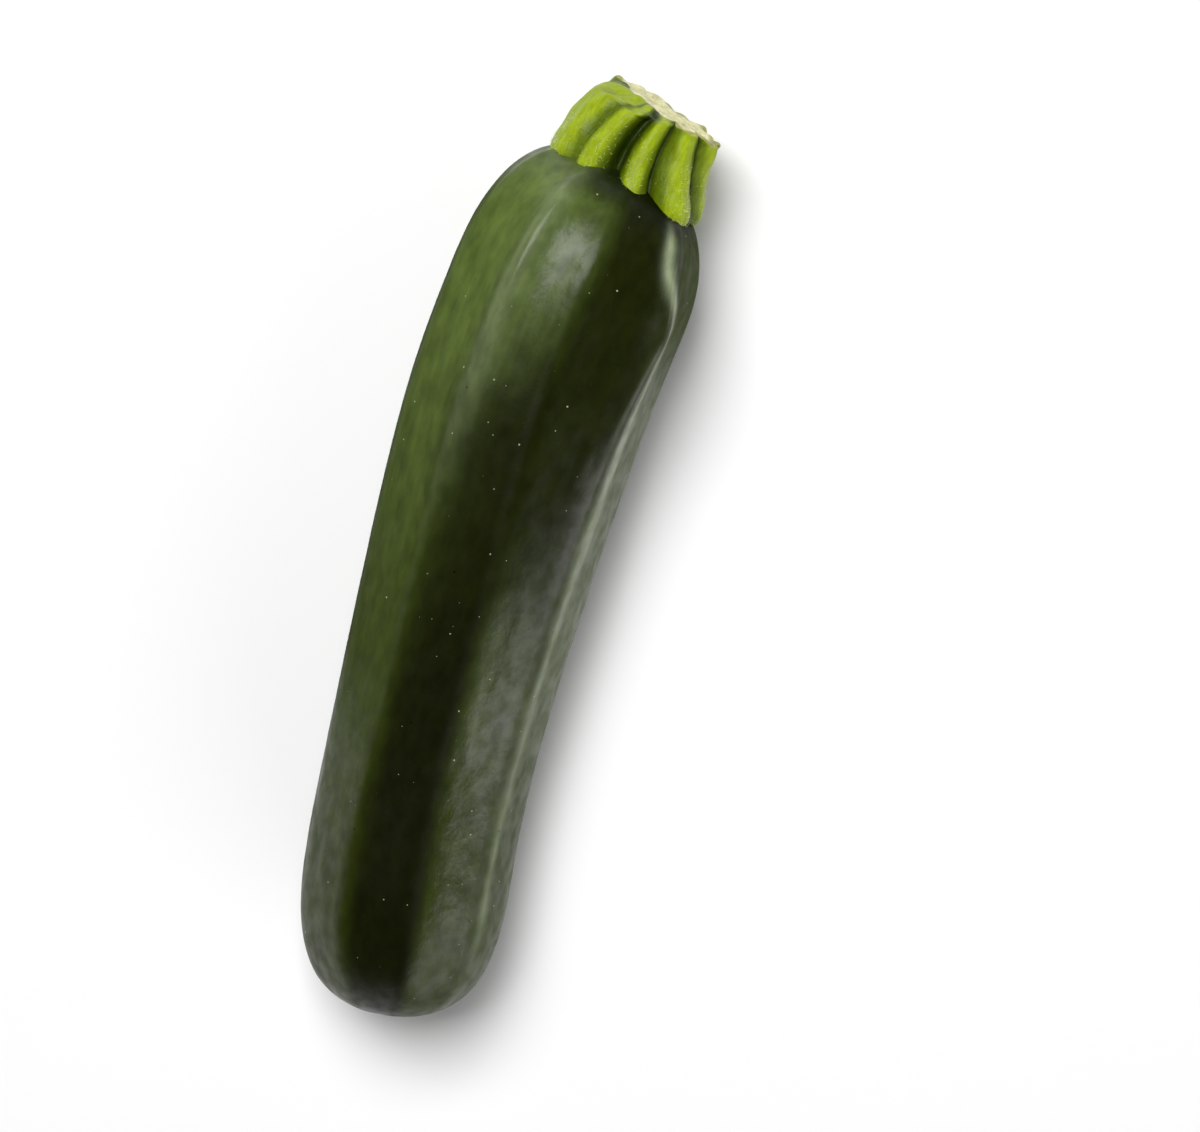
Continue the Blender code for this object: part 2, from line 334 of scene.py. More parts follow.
class Effects:
    """The node groups that several finishes share."""

    NOISE_DETAIL = 3.0
    LEAST_RADIUS = 0.35
    LEAST_BOLDNESS = 0.25
    CORE_SHARE = 0.35

    def __init__(self) -> None:
        """Builds the groups."""
        self.grain = self.make_grain()
        self.specks = self.make_specks()

    def make_grain(self) -> bpy.types.NodeTree:
        """Cloudy grain, 0 to 1, of one size across, and stretched along the piece.

        Returns:
            The node group.
        """
        kinds = {"Place": "NodeSocketVector", "Size": "NodeSocketFloat", "Stretch": "NodeSocketFloat",
                 "Contrast": "NodeSocketFloat"}
        graph, given, out = new_group("grain", kinds, "Grain")
        along = graph.math("DIVIDE", 1.0, given("Stretch"))
        squeeze = graph.node("ShaderNodeCombineXYZ", None, {"X": along, "Y": 1.0, "Z": 1.0}).outputs[0]
        drawn = graph.node("ShaderNodeVectorMath", {"operation": "MULTIPLY"}, {0: given("Place"), 1: squeeze})
        spot = graph.scaled(drawn.outputs[0], graph.math("DIVIDE", 1.0, given("Size")))
        noise = graph.node("ShaderNodeTexNoise", None, {"Vector": spot, "Scale": 1.0,
                                                             "Detail": self.NOISE_DETAIL})
        centred = graph.math("SUBTRACT", noise.outputs["Fac"], 0.5)
        stronger = graph.math("MULTIPLY", centred, given("Contrast"))
        graph.feed(out, graph.math("ADD", stronger, 0.5, clamp=True))
        return graph.tree

    def make_specks(self) -> bpy.types.NodeTree:
        """Sparse round specks, 1 in the middle of the boldest and 0 between.

        Each cell of a scatter of points has one. Its radius and its boldness grow with the square of a
        random draw.

        Returns:
            The node group.
        """
        kinds = {"Place": "NodeSocketVector", "Spacing": "NodeSocketFloat", "Size": "NodeSocketFloat"}
        graph, given, out = new_group("specks", kinds, "Specks")
        spot = graph.scaled(given("Place"), graph.math("DIVIDE", 1.0, given("Spacing")))
        cells = graph.node("ShaderNodeTexVoronoi", None, {"Vector": spot, "Scale": 1.0})
        away = graph.math("MULTIPLY", cells.outputs["Distance"], given("Spacing"))
        draws = graph.node("ShaderNodeSeparateColor", None, {0: cells.outputs["Color"]})
        boldness = graph.math("POWER", draws.outputs[0], 2.0)
        radius = graph.math("MULTIPLY", given("Size"), graph.math("ADD", self.LEAST_RADIUS, boldness))
        core = graph.math("MULTIPLY", radius, self.CORE_SHARE)
        round_spot = graph.ramp(away, core, radius, 1.0, 0.0)
        strength = graph.math("ADD", self.LEAST_BOLDNESS, boldness)
        graph.feed(out, graph.math("MULTIPLY", round_spot, strength, clamp=True))
        return graph.tree


@dataclass(frozen=True)
class Grain:
    """Cloudy grain by its size across, how far it is drawn out along the piece, and its contrast."""

    size: float
    stretch: float
    contrast: float

    def at(self, graph: Graph, effects: Effects, place: Value) -> Value:
        """Its value from 0 to 1, put out by the shared group."""
        return graph.effect(effects.grain, Place=place, Size=self.size, Stretch=self.stretch,
                            Contrast=self.contrast)


@dataclass(frozen=True)
class Specks:
    """Scattered specks by their spacing and by the size that their radii are shares of."""

    spacing: float
    size: float

    def at(self, graph: Graph, effects: Effects, place: Value) -> Value:
        """Their share from 0 to 1, put out by the shared group."""
        return graph.effect(effects.specks, Place=place, Spacing=self.spacing, Size=self.size)


def new_material(name: str, settings: dict[str, Value]) -> tuple[bpy.types.Material, Graph, bpy.types.Node]:
    """A material with a Principled shader whose unlinked sockets take plain settings.

    Args:
        name: The material's name.
        settings: Values for the shader's inputs, by name.

    Returns:
        The material, its graph, and its shader node.
    """
    material = bpy.data.materials.new(name)
    material.use_nodes = True
    graph = Graph(material.node_tree)
    shader = material.node_tree.nodes["Principled BSDF"]
    for label, value in settings.items():
        graph.feed(shader.inputs[label], value)
    return material, graph, shader


@dataclass(frozen=True)
class SkinFinish:
    """Waxy dark skin: nearly black green, olive on one flank, with mottling, streaks and tiny pale specks;
    its colour also holds painted shade, painted sheen and painted light.
    """

    # the top side's colour, partly painted shade where the top faces only the dim room
    dark: Colour = (0.0058, 0.0070, 0.0010)
    # the sides' greener colour, partly painted sheen where the low softbox shines
    side: Colour = (0.0270, 0.0390, 0.0030)
    # partly the skin's own olive, partly painted light on the flank towards the high softbox
    olive: Colour = (0.085, 0.125, 0.026)
    # painted highlight: greyish pale colour for the painted sheen lines and reflection band
    line: Colour = (0.270, 0.320, 0.190)
    # painted shade: near black under the stem's feet and in the crease beside the first ridge
    painted_shade: Colour = (0.0030, 0.0050, 0.0003)
    tip: Colour = (0.075, 0.080, 0.022)
    speck: Colour = (0.30, 0.34, 0.22)
    pit: Colour = (0.0015, 0.0020, 0.0004)
    roughness: tuple[float, float] = (0.44, 0.58)
    coat_roughness: float = 0.28
    coat_in_glare: float = 0.46
    coat_wear: tuple[float, float] = (0.56, 1.04)
    mottle: Grain = Grain(0.0028, 2.0, 1.6)
    mottle_shade: tuple[float, float] = (0.74, 1.26)
    streaks: Grain = Grain(0.0011, 16.0, 1.8)
    streak_shade: tuple[float, float] = (0.86, 1.10)
    bloom: Grain = Grain(0.0034, 1.25, 2.4)
    bloom_depth: float = 0.00003
    peel: Grain = Grain(0.0007, 1.4, 1.5)
    peel_depth: float = 0.000012
    pits: Specks = Specks(0.0041, 0.00026)
    specks: Specks = Specks(0.0026, 0.00020)

    def material(self, effects: Effects) -> bpy.types.Material:
        """The skin's material, on the attributes that the fruit carries.

        Args:
            effects: The shared node groups.

        Returns:
            The material.
        """
        settings = {"Specular IOR Level": 0.0, "IOR": 1.45, "Coat IOR": 1.60,
                    "Coat Roughness": self.coat_roughness}
        material, graph, shader = new_material("waxy_skin", settings)
        place = graph.attribute(Mask.STRAIGHT)
        mottle = self.mottle.at(graph, effects, place)
        peel = self.peel.at(graph, effects, place)
        graph.feed(shader.inputs["Base Color"], self.colour(graph, effects, place, mottle))
        graph.feed(shader.inputs["Roughness"], graph.within(mottle, self.roughness))
        bloom = self.bloom.at(graph, effects, place)
        coat = graph.within(graph.attribute(Mask.GLARE), (1.0, self.coat_in_glare))
        worn = graph.math("MULTIPLY", coat, graph.within(bloom, self.coat_wear))
        graph.feed(shader.inputs["Coat Weight"], graph.scaled_value(graph.attribute(Mask.WAX), worn))
        swells = graph.scaled_value(bloom, graph.attribute(Mask.RELIEF))
        normal = graph.bump(peel, self.peel_depth, graph.bump(swells, self.bloom_depth))
        graph.feed(shader.inputs["Normal"], normal)
        graph.feed(shader.inputs["Coat Normal"], normal)
        return material

    def colour(self, graph: Graph, effects: Effects, place: Value, mottle: Value) -> Value:
        """The skin's colour: dark with greener sides and an olive flank, partly painted shade, sheen and
        light, then painted highlight lines, a paler tip, grain, painted shade under the stem, specks and
        pits.

        Args:
            graph: The material's graph.
            effects: The shared node groups.
            place: The unbent place on the skin.
            mottle: Cloudy grain, 0 to 1.

        Returns:
            The colour's socket.
        """
        streaks = self.streaks.at(graph, effects, place)
        # ground tone: partly painted shade on the top side and painted sheen on the side towards the low
        # softbox
        ground = graph.mix(graph.attribute(Mask.TONE_AND_SHADE), self.dark, self.side)
        uneven = graph.within(streaks, self.streak_shade)
        # the olive flank: partly own colour, partly painted light
        flank = graph.math("MULTIPLY", graph.attribute(Mask.OLIVE_AND_LIGHT), uneven, clamp=True)
        # painted highlight lines and a painted reflection band over the ground colour
        with_painted_sheen = graph.mix(graph.attribute(Mask.LINE), graph.mix(flank, ground, self.olive), self.line)
        tinted = graph.mix(graph.attribute(Mask.TIP), with_painted_sheen, self.tip)
        shaded = graph.scaled(tinted, graph.within(mottle, self.mottle_shade))
        # painted shade: darkens the skin under the stem and in the crease beside the first ridge
        with_painted_shade = graph.mix(graph.attribute(Mask.PAINTED_SHADE), shaded, self.painted_shade)
        pitted = graph.mix(self.pits.at(graph, effects, place), with_painted_shade, self.pit)
        return graph.mix(self.specks.at(graph, effects, place), pitted, self.speck)


@dataclass(frozen=True)
class StemFinish:
    """Fresh yellow-green rind, bright on the ribs and dark in the grooves as painted highlight and painted
    shade, and cream flesh at the cut.
    """

    # painted highlight on the crests; the side and groove colours carry painted shade
    crest: Colour = (0.270, 0.355, 0.006)
    side: Colour = (0.105, 0.155, 0.001)
    groove: Colour = (0.018, 0.032, 0.0005)
    flesh: Colour = (0.70, 0.67, 0.38)
    rim: Colour = (0.36, 0.36, 0.11)
    strand: Colour = (0.32, 0.30, 0.10)
    roughness: tuple[float, float] = (0.32, 0.56)
    rougher_flesh: float = 0.14
    specular_level: float = 0.14
    fibres: Grain = Grain(0.0006, 9.0, 1.8)
    fibre_shade: tuple[float, float] = (0.86, 1.12)
    fibre_depth: float = 0.00005
    blotches: Grain = Grain(0.0020, 1.6, 2.2)
    blotch_shade: tuple[float, float] = (0.86, 1.10)
    blotch_depth: float = 0.00012
    crumbs: Grain = Grain(0.0007, 1.0, 2.0)
    crumb_shade: tuple[float, float] = (0.80, 1.12)
    crumb_depth: float = 0.00006
    patches: Grain = Grain(0.0032, 1.0, 2.6)
    patch_shade: tuple[float, float] = (0.78, 1.12)
    strands: Specks = Specks(0.0022, 0.0009)
    strand_ring: tuple[float, float, float, float] = (0.45, 0.62, 0.70, 0.86)
    rim_edge: tuple[float, float] = (0.86, 0.98)
    fraying: tuple[float, float] = (-0.16, 0.16)
    flesh_edge: tuple[float, float] = (0.40, 0.60)
    side_shade_depth: tuple[float, float] = (0.02, 0.30)
    groove_depth: tuple[float, float] = (0.26, 0.78)

    def material(self, effects: Effects) -> bpy.types.Material:
        """The stem's material: rind and flesh meet along an uneven edge.

        Args:
            effects: The shared node groups.

        Returns:
            The material.
        """
        settings = {"Specular IOR Level": self.specular_level, "Subsurface Weight": 0.06,
                    "Subsurface Scale": 0.002}
        material, graph, shader = new_material("stem_rind", settings)
        place = graph.attribute(Mask.STRAIGHT)
        fibres = self.fibres.at(graph, effects, place)
        blotches = self.blotches.at(graph, effects, place)
        crumbs = self.crumbs.at(graph, effects, place)
        frayed = graph.math("ADD", graph.attribute(Mask.FLESH), graph.within(blotches, self.fraying))
        flesh = graph.ramp(frayed, *self.flesh_edge)
        rind_colour = self.rind(graph, fibres, blotches)
        graph.feed(shader.inputs["Base Color"],
                   graph.mix(flesh, rind_colour, self.cut(graph, effects, place, crumbs)))
        rough = graph.within(blotches, self.roughness)
        rougher = graph.scaled_value(flesh, self.rougher_flesh)
        graph.feed(shader.inputs["Roughness"], graph.math("ADD", rough, rougher))
        coarse = graph.bump(blotches, self.blotch_depth, graph.bump(crumbs, self.crumb_depth))
        graph.feed(shader.inputs["Normal"], graph.bump(fibres, self.fibre_depth, coarse))
        return material

    def rind(self, graph: Graph, fibres: Value, blotches: Value) -> Value:
        """The rind's colour by the depth in the grooves: the rind's green with a painted highlight on the
        crests and painted shade on the sides and in the grooves, a little streaky and blotched.

        Args:
            graph: The material's graph.
            fibres: Fine grain along the stem, 0 to 1.
            blotches: Coarser grain, 0 to 1.

        Returns:
            The colour's socket.
        """
        depth = graph.attribute(Mask.GROOVE_SHADE)
        # painted light: bright crests, sides darker by groove depth
        lit = graph.mix(graph.ramp(depth, *self.side_shade_depth), self.crest, self.side)
        # painted shade: grooves darkened by their depth
        deep = graph.mix(graph.ramp(depth, *self.groove_depth), lit, self.groove)
        shade = graph.math("MULTIPLY", graph.within(fibres, self.fibre_shade),
                           graph.within(blotches, self.blotch_shade))
        return graph.scaled(deep, shade)

    def cut(self, graph: Graph, effects: Effects, place: Value, crumbs: Value) -> Value:
        """The flesh's colour: cream, with a ring of darker strands and a yellower edge.

        Args:
            graph: The material's graph.
            effects: The shared node groups.
            place: The unbent place on the stem.
            crumbs: Fine even grain, 0 to 1.

        Returns:
            The colour's socket.
        """
        spread = graph.attribute(Mask.SPREAD)
        strands = self.strands.at(graph, effects, place)
        start, full, waning, end = self.strand_ring
        ring = graph.scaled_value(graph.ramp(spread, start, full), graph.ramp(spread, waning, end, 1.0, 0.0))
        colour = graph.mix(graph.math("MULTIPLY", strands, ring, clamp=True), self.flesh, self.strand)
        edge = graph.mix(graph.ramp(spread, *self.rim_edge), colour, self.rim)
        grained = graph.scaled(edge, graph.within(crumbs, self.crumb_shade))
        patches = self.patches.at(graph, effects, place)
        return graph.scaled(grained, graph.within(patches, self.patch_shade))


@dataclass(frozen=True)
class CorkFinish:
    """Dry tan scar tissue, cracked, darker where its crackled grain lies low."""

    high: Colour = (0.46, 0.31, 0.12)
    low: Colour = (0.16, 0.095, 0.032)
    cracks: Grain = Grain(0.0005, 1.0, 2.4)
    crack_depth: float = 0.00012

    def material(self, effects: Effects) -> bpy.types.Material:
        """The cork's material.

        Args:
            effects: The shared node groups.

        Returns:
            The material.
        """
        material, graph, shader = new_material("cork", {"Roughness": 0.8, "Specular IOR Level": 0.25})
        place = graph.attribute(Mask.STRAIGHT)
        cracks = self.cracks.at(graph, effects, place)
        graph.feed(shader.inputs["Base Color"], graph.mix(cracks, self.low, self.high))
        graph.feed(shader.inputs["Normal"], graph.bump(cracks, self.crack_depth))
        return material


@dataclass(frozen=True)
class HairFinish:
    """Fine glassy hairs."""

    colour: Colour = (0.72, 0.80, 0.42)
    grain: Grain = Grain(0.002, 1.0, 1.5)
    shade: tuple[float, float] = (0.7, 1.1)

    def material(self, effects: Effects) -> bpy.types.Material:
        """The hairs' material, a little uneven along the stem.

        Args:
            effects: The shared node groups.

        Returns:
            The material.
        """
        material, graph, shader = new_material("stem_hair", {"Roughness": 0.3, "Specular IOR Level": 0.6})
        place = graph.node("ShaderNodeTexCoord").outputs["Object"]
        shade = graph.within(self.grain.at(graph, effects, place), self.shade)
        graph.feed(shader.inputs["Base Color"], graph.scaled(self.colour, shade))
        return material


@dataclass(frozen=True)
class Centreline:
    """The fruit's bent centreline, from the blossom end to its top under the stem."""

    length: float = 0.1865
    bend_at_blossom_end: float = 0.74
    bend_at_stem_end: float = 2.74
    heading_at_blossom_end: float = math.radians(7.5)
    sway: float = 0.0004
    sway_peak: float = 0.040
    sway_period: float = 0.105
    samples: int = 801

    def heading(self, along: np.ndarray) -> np.ndarray:
        """Its direction in the XY plane: the bend grows evenly from the blossom end to the stem."""
        growth = (self.bend_at_stem_end - self.bend_at_blossom_end) / self.length
        return self.heading_at_blossom_end - along * (self.bend_at_blossom_end + 0.5 * growth * along)

    def place(self, along: np.ndarray) -> tuple[np.ndarray, np.ndarray]:
        """X and Y, from where it runs along X: the running sum of its direction, and a sway.

        Args:
            along: Distance along the centreline from the blossom end.

        Returns:
            X and Y for each distance.
        """
        samples = np.linspace(0.0, self.length, self.samples)
        angles = self.heading(samples)
        x = np.cumsum(np.cos(angles)) * samples[1]
        y = np.cumsum(np.sin(angles)) * samples[1]
        apex = np.argmin(np.abs(angles))
        sway = self.sway * np.cos(FULL_TURN * (samples - self.sway_peak) / self.sway_period)
        return np.interp(along, samples, x - x[apex]), np.interp(along, samples, y - y[apex] + sway)


def listed_angle(number: np.ndarray, way: np.ndarray, first: np.ndarray, last: np.ndarray) -> np.ndarray:
    """A listed angle on the way from one end's list to the other's; past the list starts the next turn."""
    turns, item = np.divmod(number, len(first))
    return FULL_TURN * turns + first[item] * (1.0 - way) + last[item] * way


def angle_at(phase: np.ndarray, way: np.ndarray, first: np.ndarray, last: np.ndarray) -> np.ndarray:
    """The angle at a phase that counts the listed angles: whole numbers are those, and halves halfway.

    Args:
        phase: The phase, which may run past the list into the next turn.
        way: How far from the first list to the last, 0 to 1.
        first: The angles at one end.
        last: The angles at the other end.

    Returns:
        The angles.
    """
    number = np.floor(phase).astype(int)
    before = listed_angle(number, way, first, last)
    after = listed_angle(number + 1, way, first, last)
    return before + (after - before) * (phase - number)


@dataclass(frozen=True)
class Rise:
    """A smooth rise from 0 at its start to 1 a reach further on; a negative reach makes it a fall."""

    start: float
    reach: float

    def at(self, place: np.ndarray) -> np.ndarray:
        """The share risen: the smooth step of (place - start) / reach."""
        return smooth_step((place - self.start) / self.reach)


def faded(share: np.ndarray, place: np.ndarray, ends: tuple[Rise, ...]) -> np.ndarray:
    """A share that comes in and goes out with rises and falls.

    Args:
        share: The share without its ends.
        place: What the ends go by, such as the distance along the centreline.
        ends: The rises and falls that it is multiplied by.

    Returns:
        The share with its ends.
    """
    for end in ends:
        share = share * end.at(place)
    return share


@dataclass(frozen=True)
class Strip:
    """A flat strip of the skin between two ridge phases, whose soft edges start a little beyond them."""

    first: float
    last: float
    strength: float = 1.0
    ends: tuple[Rise, ...] = ()
    beyond: float = 0.06
    edge: float = 0.16

    def at(self, phase: np.ndarray, along: np.ndarray) -> np.ndarray:
        """Its strength between its phases and its ends, and 0 elsewhere.

        Args:
            phase: Ridge phase round the fruit.
            along: Distance along the centreline.

        Returns:
            The strength at each place.
        """
        half = 0.5 * (self.last - self.first)
        share = smooth_step((half + self.beyond - np.abs(phase - self.first - half)) / self.edge)
        return self.strength * faded(share, along, self.ends)


@dataclass(frozen=True)
class Stripe:
    """A bell-shaped stripe of the skin round one ridge phase."""

    middle: float
    width: float
    strength: float = 1.0
    ends: tuple[Rise, ...] = ()

    def at(self, phase: np.ndarray, along: np.ndarray) -> np.ndarray:
        """Its strength times e^(-((phase - middle) / width)^2), between its ends."""
        return self.strength * faded(bell((phase - self.middle) / self.width), along, self.ends)


@dataclass(frozen=True)
class SheenLine:
    """A painted highlight: the pale line along the right-hand ridge, which wavers in width and moves inwards
    over the shoulder.
    """

    middle: float = 3.17
    middle_over_shoulder: float = 2.90
    shoulder: Rise = Rise(0.158, 0.016)
    width: float = 0.105
    waver: float = 0.030
    waver_lengths: tuple[float, float] = (0.0047, 0.0113)
    narrowing: float = 0.52
    strength: float = 0.30
    strength_halfway: float = 0.10
    strength_over_shoulder: float = 0.45
    halfway: Rise = Rise(0.080, 0.040)
    ends: tuple[Rise, ...] = (Rise(0.010, 0.020), Rise(0.184, -0.008))

    def at(self, phase: np.ndarray, along: np.ndarray) -> np.ndarray:
        """A bell across the line; its width is wavered by the product of two sines.

        Args:
            phase: Ridge phase round the fruit.
            along: Distance along the centreline.

        Returns:
            How pale the painted highlight makes the skin, 0 to 1.
        """
        over = self.shoulder.at(along)
        short, long = self.waver_lengths
        width = self.width + self.waver * np.sin(along / short) * np.sin(along / long + 1.0)
        width = width * (1.0 - self.narrowing * over)
        middle = self.middle + (self.middle_over_shoulder - self.middle) * over
        strength = self.strength + self.strength_halfway * self.halfway.at(along)
        strength = strength + self.strength_over_shoulder * over
        return faded(strength * bell((phase - middle) / width), along, self.ends)


@dataclass(frozen=True)
class SkinPattern:
    """Where the skin is dark, green, olive, pale, waxy or rough. The dark top and greener sides are partly
    painted shade and sheen, the olive flank is partly painted light, the pale lines are painted highlights
    and reflections, and the near black under the stem is painted shade.

    Its masks go by the ridges' phase, by the distance along the centreline in metres and, for the olive flank
    and the belly, by the angle from the top in degrees.
    """

    # the olive flank: partly the skin's own olive, partly painted light where the high softbox falls
    olive_middle: float = -45.0
    olive_reach: tuple[float, float] = (20.0, 56.0)
    olive_reach_below: float = 48.0
    olive_widening: Rise = Rise(0.126, 0.036)
    olive_least: float = 0.05
    olive_growth: tuple[float, float, float] = (0.030, 0.140, 1.6)
    olive_edge: Rise = Rise(16.0, -16.0)

    plain_wax: float = 0.69
    full_wax: Strip = Strip(1.90, 2.9, 0.31, (Rise(0.095, -0.030), Rise(0.018, 0.028)))
    thin_flank: float = 0.84
    thin_flank_edges: tuple[Rise, ...] = (Rise(1.02, -0.16), Rise(-2.4, 0.6))
    thin_flank_ends: tuple[Rise, ...] = (Rise(0.045, 0.035), Rise(0.181, -0.012))
    thin_belly: float = 0.12
    belly_edge: Rise = Rise(52.0, 20.0)
    thin_top: Strip = Strip(1.0, 1.92, 0.74, (Rise(0.166, -0.026), Rise(0.004, 0.018)))
    thin_shoulder_ridge: Stripe = Stripe(1.98, 0.16, 0.55, (Rise(0.120, 0.030),))
    thin_right: Strip = Strip(2.0, 2.85, 0.70, (Rise(0.085, 0.035),))
    thin_outer_side: Strip = Strip(3.0, 6.0, 0.72, (Rise(0.140, 0.024),))
    thin_blossom_end: Strip = Strip(1.8, 3.0, 0.34, (Rise(0.026, -0.016),))
    wax_on_line: tuple[float, float] = (0.9, 0.6)
    wax_line_edge: Rise = Rise(0.12, 0.22)
    wax_line_change: Rise = Rise(0.150, 0.015)

    glare_strip: Strip = Strip(0.95, 2.15, 1.0, (Rise(0.128, 0.026),))
    glare_relief: float = 0.6
    glare_relief_start: Rise = Rise(0.135, 0.015)
    rough_strip: Strip = Strip(2.0, 3.0, 1.5, (Rise(0.105, -0.020),))
    smooth_strip: Strip = Strip(2.95, 6.0, 0.85)

    # side tones: the top side darkest, and the side under the low softbox's sheen greener towards the blossom
    # end; partly painted shade and sheen
    tones_at_blossom_end: tuple[float, ...] = (0.85, 0.70, 0.0, 0.80, 1.0, 0.80, 0.90, 0.70, 0.90, 0.80)
    tones_at_stem_end: tuple[float, ...] = (0.80, 0.70, 0.12, 0.18, 1.0, 0.80, 0.90, 0.70, 0.90, 0.80)
    tone_blend: Rise = Rise(0.38, 0.34)
    tone_change: Rise = Rise(0.070, 0.045)

    # painted highlight line, painted sheen patch and painted reflection band
    sheen_line: SheenLine = SheenLine()
    sheen_patch: Stripe = Stripe(2.30, 0.15, 0.10, (Rise(0.055, 0.020), Rise(0.100, -0.015)))
    sheen_band: Strip = Strip(3.10, 5.5, 0.11, (Rise(0.050, 0.030), Rise(0.156, -0.020)))
    first_ridge_sheen: Stripe = Stripe(1.02, 0.15, 0.24, (Rise(0.100, 0.055), Rise(0.186, -0.006)))

    # painted shade under the stem's feet, stronger beside two ribs, and a painted shadow in the crease beside
    # the first ridge
    painted_shade_depth: float = 0.85
    painted_shade_least: float = 0.15
    painted_shade_start: Rise = Rise(0.1765, 0.0055)
    painted_shade_stripes: tuple[Stripe, ...] = (Stripe(1.55, 0.55), Stripe(3.1, 0.7))
    crease: Stripe = Stripe(0.87, 0.11, 0.26, (Rise(0.090, 0.040), Rise(0.178, -0.01)))

    tip_edge: Rise = Rise(0.0085, -0.0070)

    def olive(self, along: np.ndarray, angle: np.ndarray) -> np.ndarray:
        """How olive the skin is: a bell across the flank, wide at the shoulder, that grows towards the stem;
        partly the skin's own olive and partly painted light on the flank that faces the high softbox.

        Args:
            along: Distance along the centreline.
            angle: Angle from the top.

        Returns:
            0 for the dark ground and 1 for full olive.
        """
        across = wrapped(angle)
        narrow, wide = self.olive_reach
        reach = narrow + (wide - narrow) * self.olive_widening.at(along)
        width = np.where(across > self.olive_middle, reach, self.olive_reach_below)
        start, length, power = self.olive_growth
        grown = np.clip((along - start) / length, 0.0, 1.0) ** power
        growth = self.olive_least + (1.0 - self.olive_least) * grown
        return bell((across - self.olive_middle) / width) * growth * self.olive_edge.at(across)

    def wax(self, phase: np.ndarray, along: np.ndarray, angle: np.ndarray) -> np.ndarray:
        """How thick the wax is: full low on the right, thin on the olive flank, on the top and near the stem.

        It is the plain thickness times 1 minus each thinning, or the painted sheen's own wax where that is
        more.

        Args:
            phase: Ridge phase round the fruit.
            along: Distance along the centreline.
            angle: Angle from the top.

        Returns:
            The share of the full wax.
        """
        half_turn = 0.5 * len(self.tones_at_stem_end)
        signed = (phase + half_turn) % (2.0 * half_turn) - half_turn
        flank = faded(np.ones_like(signed), signed, self.thin_flank_edges)
        thickness = self.plain_wax + self.full_wax.at(phase, along)
        thickness = thickness * (1.0 - self.thin_flank * faded(flank, along, self.thin_flank_ends))
        thickness = thickness * (1.0 - self.thin_belly * self.belly_edge.at(np.abs(wrapped(angle))))
        for thinning in (self.thin_top, self.thin_shoulder_ridge, self.thin_right, self.thin_outer_side,
                         self.thin_blossom_end):
            thickness = thickness * (1.0 - thinning.at(phase, along))
        below, over = self.wax_on_line
        on_line = below + (over - below) * self.wax_line_change.at(along)
        return np.maximum(thickness, on_line * self.wax_line_edge.at(self.pale(phase, along)))

    def glare(self, phase: np.ndarray, along: np.ndarray) -> np.ndarray:
        """Where the wax is rubbed matt: on top of the shoulder."""
        return self.glare_strip.at(phase, along)

    def relief(self, phase: np.ndarray, along: np.ndarray) -> np.ndarray:
        """How uneven the wax is: more on top of the shoulder and low on the right, and little further out.

        Args:
            phase: Ridge phase round the fruit.
            along: Distance along the centreline.

        Returns:
            The factor on the wax's bumps.
        """
        rubbed = 1.0 + self.glare_relief * self.glare(phase, along) * self.glare_relief_start.at(along)
        rough = 1.0 + self.rough_strip.at(phase, along)
        return rubbed * rough * (1.0 - self.smooth_strip.at(phase, along))

    def tone(self, phase: np.ndarray, along: np.ndarray) -> np.ndarray:
        """How green the ground is: each side has a tone at either end, and neighbours blend at their ridge.
        The dark top side is partly painted shade, and the greener side under the low softbox's sheen is
        partly painted sheen.

        Args:
            phase: Ridge phase round the fruit.
            along: Distance along the centreline.

        Returns:
            0 for the darkest ground and 1 for the greenest.
        """
        tones = np.array([self.tones_at_blossom_end, self.tones_at_stem_end])
        count = tones.shape[1]
        side = np.floor(phase + 0.5).astype(int)
        way = self.tone_blend.at(phase + 0.5 - side)
        before = tones[:, side % count]
        after = tones[:, (side + 1) % count]
        first, last = before + (after - before) * way
        return first + (last - first) * self.tone_change.at(along)

    def pale(self, phase: np.ndarray, along: np.ndarray) -> np.ndarray:
        """How pale the skin is painted: a painted highlight line on the right-hand ridge, with a faint
        painted sheen patch and a painted reflection band beside it, and a painted sheen band along the first
        ridge.

        Args:
            phase: Ridge phase round the fruit.
            along: Distance along the centreline.

        Returns:
            The share of the pale colour of the painted highlights and reflections.
        """
        line = self.sheen_line.at(phase, along)
        beside = self.sheen_patch.at(phase, along) + self.sheen_band.at(phase, along) * (1.0 - line)
        return line + beside + self.first_ridge_sheen.at(phase, along)

    def painted_shade(self, phase: np.ndarray, along: np.ndarray) -> np.ndarray:
        """How nearly black the skin is painted: painted shade under the stem, and a painted shadow in a faint
        crease beside the first ridge.

        Args:
            phase: Ridge phase round the fruit.
            along: Distance along the centreline.

        Returns:
            The share of the near-black painted shade.
        """
        beside = sum(stripe.at(phase, along) for stripe in self.painted_shade_stripes)
        under = self.painted_shade_start.at(along) * np.clip(self.painted_shade_least + beside, 0.0, 1.0)
        return np.maximum(self.painted_shade_depth * under, self.crease.at(phase, along))

    def tip(self, radius: np.ndarray, near_blossom: np.ndarray) -> np.ndarray:
        """Where the blossom end pales round the scar: by the radius, on the blossom half alone."""
        return self.tip_edge.at(radius) * near_blossom


